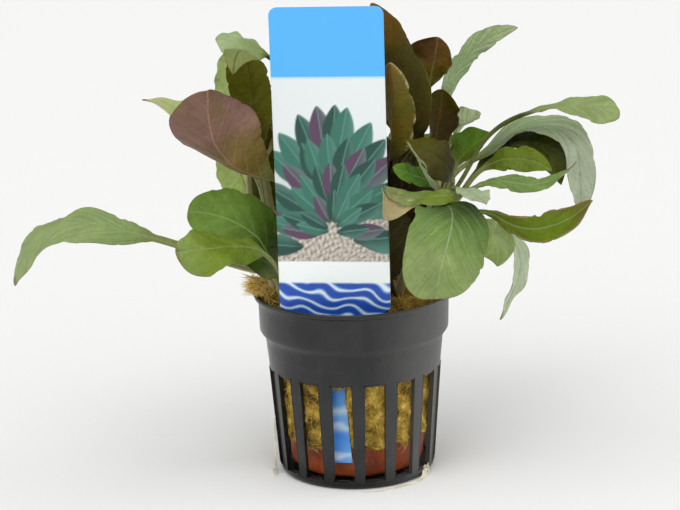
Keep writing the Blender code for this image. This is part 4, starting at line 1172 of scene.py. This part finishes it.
        climb=(55, 45, 20, -10), roll=(20, 0), upper="fresh meadow"),
    "rear_middle": dict(
        stem="stem_back", up=22, stalk=14, blade=30, width=14, heading=(130, 115),
        climb=(75, 60, 30, -5), roll=(-20, 5), upper="meadow meadow sage", blush="fresh"),
    "rear_right": dict(
        stem="stem_back", up=18, stalk=14, blade=26, width=14, heading=(30, 50),
        climb=(70, 60, 25, -10), roll=(15, 0), upper="forest meadow"),
    "rear_upright": dict(
        stem="stem_back", up=36, stalk=10, blade=26, width=12, heading=(160, 130),
        climb=(80, 75, 60, 40), roll=(-50, -30), upper="meadow sage"),
    "leaf_back_left": dict(
        stem="stem_left_back", up=31, stalk=17, blade=29, width=15, heading=(95, 115),
        climb=(80, 45, 10, -20)),
    "leaf_back_left_low": dict(
        stem="stem_left_back", up=5, stalk=6, blade=25, width=13, heading=(110, 160),
        climb=(55, 60, 70), roll=(-90,), upper="forest"),
    "leaf_back_middle": dict(
        stem="stem_back", up=40, stalk=18, blade=36, width=17, heading=(95, 90), climb=(85, 45, 5, -35),
        under="mauve"),
    "leaf_back_tall": dict(
        stem="stem_middle", up=6, stalk=8, blade=30, width=15, heading=(40, 10), climb=(60, 65, 75),
        roll=(-90,), upper="bark", under="bark"),
    "leaf_back_low": dict(
        stem="stem_back", up=14, stalk=22, blade=30, width=16, heading=(85,), climb=(65, 30, 0, -35),
        upper="fresh"),
    "leaf_back_right": dict(
        stem="stem_back", up=27, stalk=20, blade=32, width=15, heading=(55, 60), climb=(80, 45, 5, -35),
        upper="meadow sage"),
    "leaf_back_fold": dict(
        stem="stem_back", up=11, stalk=12, blade=28, width=16, heading=(0, 5), climb=(60, 55, 60),
        roll=(-90,), upper="olive", under="olive"),
}
# The two near-black browns paint the shade deep inside the plant on its stalks and leaves, and the
# lighter of them is also the real dark brown of some undersides.
leafColours = dict(
    sage="#7F9350", fresh="#6B8024", meadow="#62802F", forest="#37500F", mauve="#806058", umber="#6E4A10",
    olive="#524D0B", moss="#3B440A", bark="#2E2A06", khaki="#7A824A", lime="#5E7114", emerald="#4A6A0C",
    silver="#8F9C7C", mist="#9DB083", straw="#B4AC80", rose="#AC8474", pale="#84945F", worn="#6B4A35",
    bloom="#C9CFC0", hazel="#72602C", pear="#B6CA76", plum="#6A4440", vivid="#578A10",
    soil="#241E06", tan="#C0B083", rust="#86581A", lichen="#6A6C14",
)


def toneAlong(words, t):
    # The named colours stand at even steps from 0 to 1, and t reads between them.
    stops = np.array([toLinear(leafColours[word]) for word in words.split()])
    return np.stack([spread(stops[:, k], t) for k in range(4)], -1)


def leafLook(name, rough, veinDepth):
    # Living leaf, grown: mottled skin with a soft waxlike gloss, fine streaks along its veins, a thin
    # reddish margin and a painted grey sheen. Marks and colours on the points say where each is.
    look, tree, shader = newMaterial(name, IOR=1.38, Specular_IOR_Level=0.2)
    surface = addNode(tree, "UVMap", uv_map="surfaceMm").outputs[0]
    veinWave, margin, bloom = (marked(tree, key, "Fac") for key in ("veinWave", "marginMm", "bloom"))
    skin, veinColour, edgeColour = (
        marked(tree, key + "Colour", "Color") for key in ("skin", "vein", "edge"))
    across = calculate(tree, "ABSOLUTE", addNode(tree, "SeparateXYZ", {0: surface}).outputs[0], 0.0)
    # Streaks: noise drawn out along the side veins, about 0.7 mm wide and 8 mm long, over patches.
    drawn = {0: calculate(tree, "MULTIPLY", veinWave, 5.0), 1: calculate(tree, "MULTIPLY", across, 0.12)}
    streaks = noise(tree, addNode(tree, "CombineXYZ", drawn).outputs[0], 1.0, 3.0)
    patches = noise(tree, surface, 0.16, 5.0, 0.6)
    mottled = calculate(tree, "MULTIPLY_ADD", streaks, 0.22, patches)
    skin = shaded(tree, skin, remap(tree, mottled, 0.42, 0.80, 0.84, 1.14))
    # Side veins: a soft line wherever the wave passes a whole number, fading toward the margin and
    # coming and going with the patches. The midrib is a line of its own.
    bent = addNode(tree, "TexNoise", {"Vector": surface, "Scale": 0.3, "Detail": 2.0})
    wave = calculate(tree, "MULTIPLY_ADD", bent.outputs["Fac"], 0.55, veinWave)
    line = remap(tree, calculate(tree, "PINGPONG", wave, 0.5), 0.02, 0.13, 1.0, 0.0)
    fade = remap(tree, margin, 0.5, 4.0, 0.0, veinDepth)
    shown = calculate(tree, "MULTIPLY", fade, remap(tree, patches, 0.38, 0.62, 0.25, 1.0))
    sideVeins = calculate(tree, "MULTIPLY", line, shown)
    veins = calculate(tree, "MAXIMUM", sideVeins, remap(tree, across, 0.05, 0.34, 0.65, 0.0))
    # Between them a net of small veins, 2 to 3 mm wide, that sinks a little into the skin.
    strayed = {0: bent.outputs["Color"], 1: (2.4, 2.4, 0.0), 2: surface}
    jitter = addNode(tree, "VectorMath", strayed, operation="MULTIPLY_ADD").outputs[0]
    cells = addNode(tree, "TexVoronoi", {"Vector": jitter, "Scale": 0.42}, feature="DISTANCE_TO_EDGE")
    net = remap(tree, cells.outputs["Distance"], 0.0, 0.16, 1.0, 0.0)
    skin = shaded(tree, skin, remap(tree, net, 0.0, 1.0, 1.0, 0.94))
    skin = mixColours(tree, veins, skin, veinColour)
    # Painted grey sheen lies along the streaks, and the thin margin is broken by them.
    sheenAmount = calculate(tree, "MULTIPLY", remap(tree, streaks, 0.32, 0.66, 0.10, 1.4), bloom, held=True)
    skin = mixColours(tree, sheenAmount, skin, toLinear(leafColours["bloom"]))
    broken = remap(tree, streaks, 0.40, 0.58, 0.2, 0.75)
    edge = calculate(tree, "MULTIPLY", remap(tree, margin, 0.05, 0.30, 1.0, 0.0), broken)
    crinkles = noise(tree, surface, 0.9, 4.0, 0.6)
    relief = calculate(tree, "MULTIPLY_ADD", calculate(tree, "ADD", veins, net), -0.35, crinkles)
    dress(tree, shader, Base_Color=mixColours(tree, edge, skin, edgeColour),
          Roughness=remap(tree, patches, 0.3, 0.7, rough - 0.06, rough + 0.08),
          Normal=bumped(tree, relief, 0.45, 0.0006))
    return look


def leafStart(leaf):
    # On the stem's axis at "up", then out past the stem's surface along the leaf's first heading.
    stem = stems[leaf["stem"]]
    at, _, _ = stemLine(leaf["stem"], np.array([leaf["up"] / stem["length"]]))
    climb = math.radians(leaf["climb"][0])
    heading = math.radians(leaf["heading"][0])
    out = stem["radius"] + stemFinish["clearance"] + leafSizes["stalkRadius"] * abs(math.sin(climb))
    return at[0], out * np.array([math.cos(heading), math.sin(heading), 0])


def leafAxes(leaf, t, s):
    # Points of the midrib with the directions across the blade and up from it, turned by the roll.
    # The stalk's foot comes out of the stem, lower down the more steeply the stalk climbs.
    axis, out = leafStart(leaf)
    length, rows = leaf["stalk"] + leaf["blade"], leafSizes["footRows"]
    at, ahead, side = pathAlong(axis + out, length, leaf["climb"], leaf["heading"], t)
    inner = np.linspace(0.2, 0.9, rows)[:, None]
    lower = (1 - inner) ** 1.5 * leafSizes["clasp"] * math.sin(math.radians(max(leaf["climb"][0], 0)))
    at = np.vstack([axis + inner * out - lower * np.array([0, 0, 1]), at])
    side = repeatFirst(side, rows)
    normal = np.cross(repeatFirst(ahead, rows), side)
    roll = np.radians(spread(leaf["roll"], s))
    across = side * np.cos(roll) + normal * np.sin(roll)
    above = normal * np.cos(roll) - side * np.sin(roll)
    return at[:, None], across[:, None], above[:, None]


def rolledMargin(x, side, curl, start):
    # Past "start" of its half width a margin follows an arc of "curl": with q from 0 there to 1 at
    # the edge and L that stretch, it goes L sin(curl q) / curl out and L (1 - cos(curl q)) / curl up.
    reach = np.abs(x)
    first = start * side
    stretch = np.maximum(side - first, 1e-6)
    q = np.clip((reach - first) / stretch, 0, 1)
    bend = np.where(np.abs(curl) < 1e-3, 1e-3, curl)
    out = np.where(reach > first, first + stretch * np.sin(bend * q) / bend, reach)
    return np.sign(x) * out, stretch * (1 - np.cos(bend * q)) / bend


def marginCut(leaf, s, u, half, envelope, other):
    # How far the margin stands out: small forward teeth of changing depth, longer shallow scallops
    # and broad uneven lobes. "other" is the phase, which differs between the two sides.
    full = 2 * math.pi
    along = s * leaf["blade"]
    teeth = ((along / leafSizes["toothPitch"] + other) % 1.0) - 0.5
    steepness = 0.75 + 0.5 * np.sin(full * (along / 6.7 + 3 * other))
    swing = np.sin(full * (along / leafSizes["scallopPitch"] + other))
    swing = swing + 0.6 * np.sin(full * along / 3.1 + 9 * other)
    lobes = np.sin(full * (1.6 * s + other)) + 0.7 * np.sin(full * (3.1 * s + 5 * other))
    fine = (leaf["teeth"] * teeth * steepness + leaf["scallop"] * swing) * envelope * np.abs(u) ** 6
    return fine + leaf["uneven"] * lobes * envelope * np.abs(u) ** 3 * np.minimum(1, half / 5)


def leafSkin(leaf, seed, s, v, along, flat, rings):
    # The stalk's colours, then the blade's on each side of it, blotches and a brown tip.
    opened = ease(0.0, 0.2, s)
    blade = np.where((v > 0)[:, None], toneAlong(leaf["upper"], s), toneAlong(leaf["under"], s))
    skin = blend(toneAlong(leaf["stalkTone"], np.clip(along / leaf["stalk"], 0, 1)), blade, opened)
    blotches = ease(-0.5, 1.2, softNoise(flat + 90 * seed, leafSizes["blushSize"], seed + 400))
    blush = np.array(toLinear(leafColours[leaf["blush"]]))
    skin = blend(skin, blush, leaf["blushed"] * blotches * opened)
    tip = ease(0.94, 1.0, s + 0.025 * softNoise(rings, 2.5, seed + 500))
    return blend(skin, np.array(toLinear(leafColours["worn"])), leaf["tip"] * tip)


def makeLeaf(name, seed):
    # Rings along the stalk and the blade. In a ring u runs from -1 at the left margin to 1 at the
    # right one, and v is above 0 on the upper face. s runs from 0 at the blade's foot to 1 at its tip.
    leaf = leafDefaults | leaves[name]
    sizes = leafSizes
    rng = np.random.default_rng(seed)
    around = sizes["around"]
    rows = max(sizes["leastRows"], int(leaf["blade"] / sizes["rowStep"]))
    stalkRows = max(6, int(leaf["stalk"] / sizes["stalkStep"]))
    length = leaf["stalk"] + leaf["blade"]
    s = 1 - (1 - np.linspace(0, 1, rows + 1)[1:]) ** 1.15
    onStalk = np.linspace(0, leaf["stalk"], stalkRows)
    t = np.concatenate([onStalk, leaf["stalk"] + s * leaf["blade"]]) / length
    s = np.concatenate([np.zeros(stalkRows + sizes["footRows"]), s])[:, None]
    along = np.concatenate([np.zeros(sizes["footRows"]), t * length])[:, None]
    at, acrossAxis, aboveAxis = leafAxes(leaf, t, s)
    # Half width: width / 2 * sin(pi * s ^ widest) ^ blunt, never thinner than the stalk at its foot.
    opened = np.clip(s / sizes["foot"], 0, 1)
    envelope = np.sin(math.pi * np.clip(s, 0, 1)) ** 0.5
    half = leaf["width"] / 2 * np.sin(math.pi * np.clip(s ** leaf["widest"], 0, 1)) ** leaf["blunt"]
    stalk = sizes["stalkRadius"] * (1 + 0.35 * np.exp(-along / 2.5))
    winged = stalk * (1 + (leaf["wing"] - 1) * np.clip(along / 4, 0, 1))
    half = np.where(s < 0.5, np.maximum(winged, half), np.maximum(sizes["thinnest"], half))
    a = evenTurns(around)
    v = np.sin(a)
    u = np.sign(np.cos(a)) * np.abs(np.cos(a)) ** (1 + 0.35 * opened)
    onRight = u > 0
    phase = rng.uniform(0, 1, 6)
    reach = half * (1 + leaf["skew"] * opened * np.sign(u))
    x = half * u * (1 + leaf["skew"] * opened * u)
    x = x + np.sign(u) * marginCut(leaf, s, u, half, envelope, np.where(onRight, phase[0], phase[1]))
    curl = np.where(onRight, spread(leaf["curlRight"], s), spread(leaf["curlLeft"], s))
    curl = np.radians(curl) * opened
    flatX = x
    x, raised = rolledMargin(x, reach, curl, sizes["curlStart"])
    # Height over the midrib: cup, rolled margin, wavy margin, quilting between the veins, buckles,
    # the groove above the midrib and the ridge under it, and a channel along the stalk.
    veinWave = s * leaf["blade"] - leaf["slant"] * np.abs(flatX) + 0.02 * flatX ** 2
    veinWave = veinWave / sizes["veinPitch"]
    waves = leaf["waves"] * s + np.where(onRight, phase[2], phase[3])
    wavy = leaf["ruffle"] * np.abs(u) ** 2.5 * np.sin(2 * math.pi * waves) * envelope
    quilt = sizes["quilt"] * -np.cos(2 * math.pi * veinWave) * opened * (1 - u ** 4)
    quilt = quilt * np.minimum(1, half / 4)
    flat = np.stack([flatX + 0 * s, along + 0 * u, 0 * flatX + 0 * s], -1)
    buckle = sizes["buckle"] * softNoise(flat + 40 * seed, sizes["buckleSize"], seed + 300)
    rib = np.exp(-((flatX / sizes["ribWidth"]) ** 2)) * opened
    groove = (v > 0) * rib * sizes["groove"]
    ridge = (v < 0) * rib * sizes["ridge"] * (1 - 0.75 * s)
    channel = 0.3 * stalk * np.exp(-((u / 0.45) ** 2)) * (v > 0) * (1 - opened)
    thick = np.interp(s, (0, sizes["foot"], 1), sizes["thickness"])
    thick = thick * np.where(s == 0, stalk / sizes["stalkRadius"], 1)
    cupped = leaf["cup"] * opened * half * np.abs(u) ** 1.6
    y = thick / 2 * v + cupped + raised + wavy + quilt - groove - ridge - channel
    y = y + buckle * opened * envelope
    rings = at + x[..., None] * acrossAxis + y[..., None] * aboveAxis
    marks = {
        "veinWave": veinWave,
        "marginMm": np.maximum(reach - np.abs(flatX), 0) / leaf["rim"] + 4 * (1 - opened),
        "bloom": leaf["bloom"] * ease(0.0, 0.2, s) + 0 * veinWave,
        "skinColour": leafSkin(leaf, seed, s, v, along, flat, rings),
        "veinColour": toneAlong(leaf["vein"], s + 0 * veinWave),
        "edgeColour": toneAlong(leaf["edge"], 0 * veinWave),
    }
    for key, values in marks.items():
        marks[key] = withPoles(values.reshape(len(rings), around, -1)).squeeze()
    points, faces = leaned(withPoles(rings)), ringFaces(len(rings), around)
    under = np.tile(np.arange(around) >= around // 2, len(rings) - 1)
    node = name if name.startswith("leaf_") else None
    addPiece(pieceName(name), points, faces, leafLooks, node, uv=withPoles(flat[..., :2]),
             marks=marks, lookOf=np.concatenate([under, np.zeros(2 * around, bool)]))


leafLooks = [leafLook("leafSkinUpper", 0.38, 0.22), leafLook("leafSkinUnder", 0.50, 0.24)]
for number, name in enumerate(leaves):
    makeLeaf(name, 100 + number)
print("leaves made:", len(leaves))

# Roots: tufts of thin pale roots that come out of the slots and lie on the surface round the pot.
# Slot is the turn of the slot from the front toward +X. Reach, drift and fall are the distance from
# the axis, the turn and the part of the start's height that is left, evenly from the slot to the end.
# Wander and curl are millimetres along a circle of "wanderRadius" round the pot.

roots = dict(
    colour="#F0ECDD", dark="#C9BE9C", sides=5, rows=90, rest=0.1, curl=1.6, wander=0.09, lift=0.5,
    sway=0.5, wanderRadius=24.0,
    tufts=(
        dict(node="roots_left", seed=61, slot=-79.0, start=17.0, reach=(23.4, 23.7, 23.8, 24.4, 25.6),
             spreadTurn=5.0, drift=(0, 0, 1, 4, 8), fall=(1, 0.5, 0.1, 0, 0), count=12, radius=0.06),
        dict(node="roots_right", seed=62, slot=63.0, start=3.2, reach=(21.8, 22.5, 22.9, 23.2, 24.0),
             spreadTurn=5.0, drift=(0, -7, -19, -33, -48), fall=(1, 0.3, 0.02, 0, 0), count=26,
             radius=0.1),
    ),
)


def rootLook():
    # Young root, grown: thin and pale straw, with darker patches.
    look, tree, shader = newMaterial("freshRoot", Roughness=0.6)
    place = addNode(tree, "TexCoord").outputs["Object"]
    level = remap(tree, noise(tree, place, 180.0, 3.0), 0.4, 0.7)
    colour = mixColours(tree, level, toLinear(roots["colour"]), toLinear(roots["dark"]))
    dress(tree, shader, Base_Color=colour)
    return look


def makeRoots(place, look):
    # Each root leaves its slot, sinks to the surface and wanders there. All roots are one mesh.
    rng = np.random.default_rng(place["seed"])
    sides, rows = roots["sides"], roots["rows"]
    t = np.linspace(0, 1, rows)
    a = evenTurns(sides)
    points, faces = [], []
    for number in range(place["count"]):
        stretch = rng.uniform(0.55, 1.05)
        turn = place["slot"] + place["spreadTurn"] * rng.uniform(-1, 1)
        turn = turn + spread(place["drift"], t * stretch) * rng.uniform(0.2, 1.6)
        wander = np.cumsum(rng.normal(scale=roots["wander"], size=rows)) * t
        curls = roots["curl"] * np.sin(2 * math.pi * (t * rng.uniform(1.2, 2.6) + rng.uniform())) * t
        turn = np.radians(turn - 90) + (wander + curls) / roots["wanderRadius"]
        lift = roots["lift"] * np.abs(np.sin(9 * t + 6.28 * rng.uniform()))
        lift = lift * ease(0.5, 0.7, t) * rng.uniform(0, 1)
        start = place["start"] * rng.uniform(0.55, 1.05) - roots["rest"]
        height = roots["rest"] + start * spread(place["fall"], t) + lift
        sway = roots["sway"] * np.sin(rng.uniform(5, 11) * t + 6.28 * rng.uniform()) * t
        reach = spread(place["reach"], t * stretch) + sway
        at = np.stack([reach * np.cos(turn), reach * np.sin(turn), height], 1)
        ahead = unit(np.gradient(at, axis=0))
        across = unit(np.cross(ahead, (0, 0, 1)))
        over = np.cross(across, ahead)
        thick = place["radius"] * rng.uniform(0.7, 1.2) * np.interp(t, (0, 0.8, 1), (1.2, 0.8, 0.3))
        ring = np.cos(a)[:, None] * across[:, None] + np.sin(a)[:, None] * over[:, None]
        before = number * (rows * sides + 2)
        faces += [tuple(before + v for v in face[::-1]) for face in ringFaces(rows, sides)]
        points.append(withPoles(at[:, None] + ring * thick[:, None, None]))
    addPiece(pieceName(place["node"]), np.vstack(points), faces, [look], place["node"])


rootSkin = rootLook()
for place in roots["tufts"]:
    makeRoots(place, rootSkin)
print("roots made")
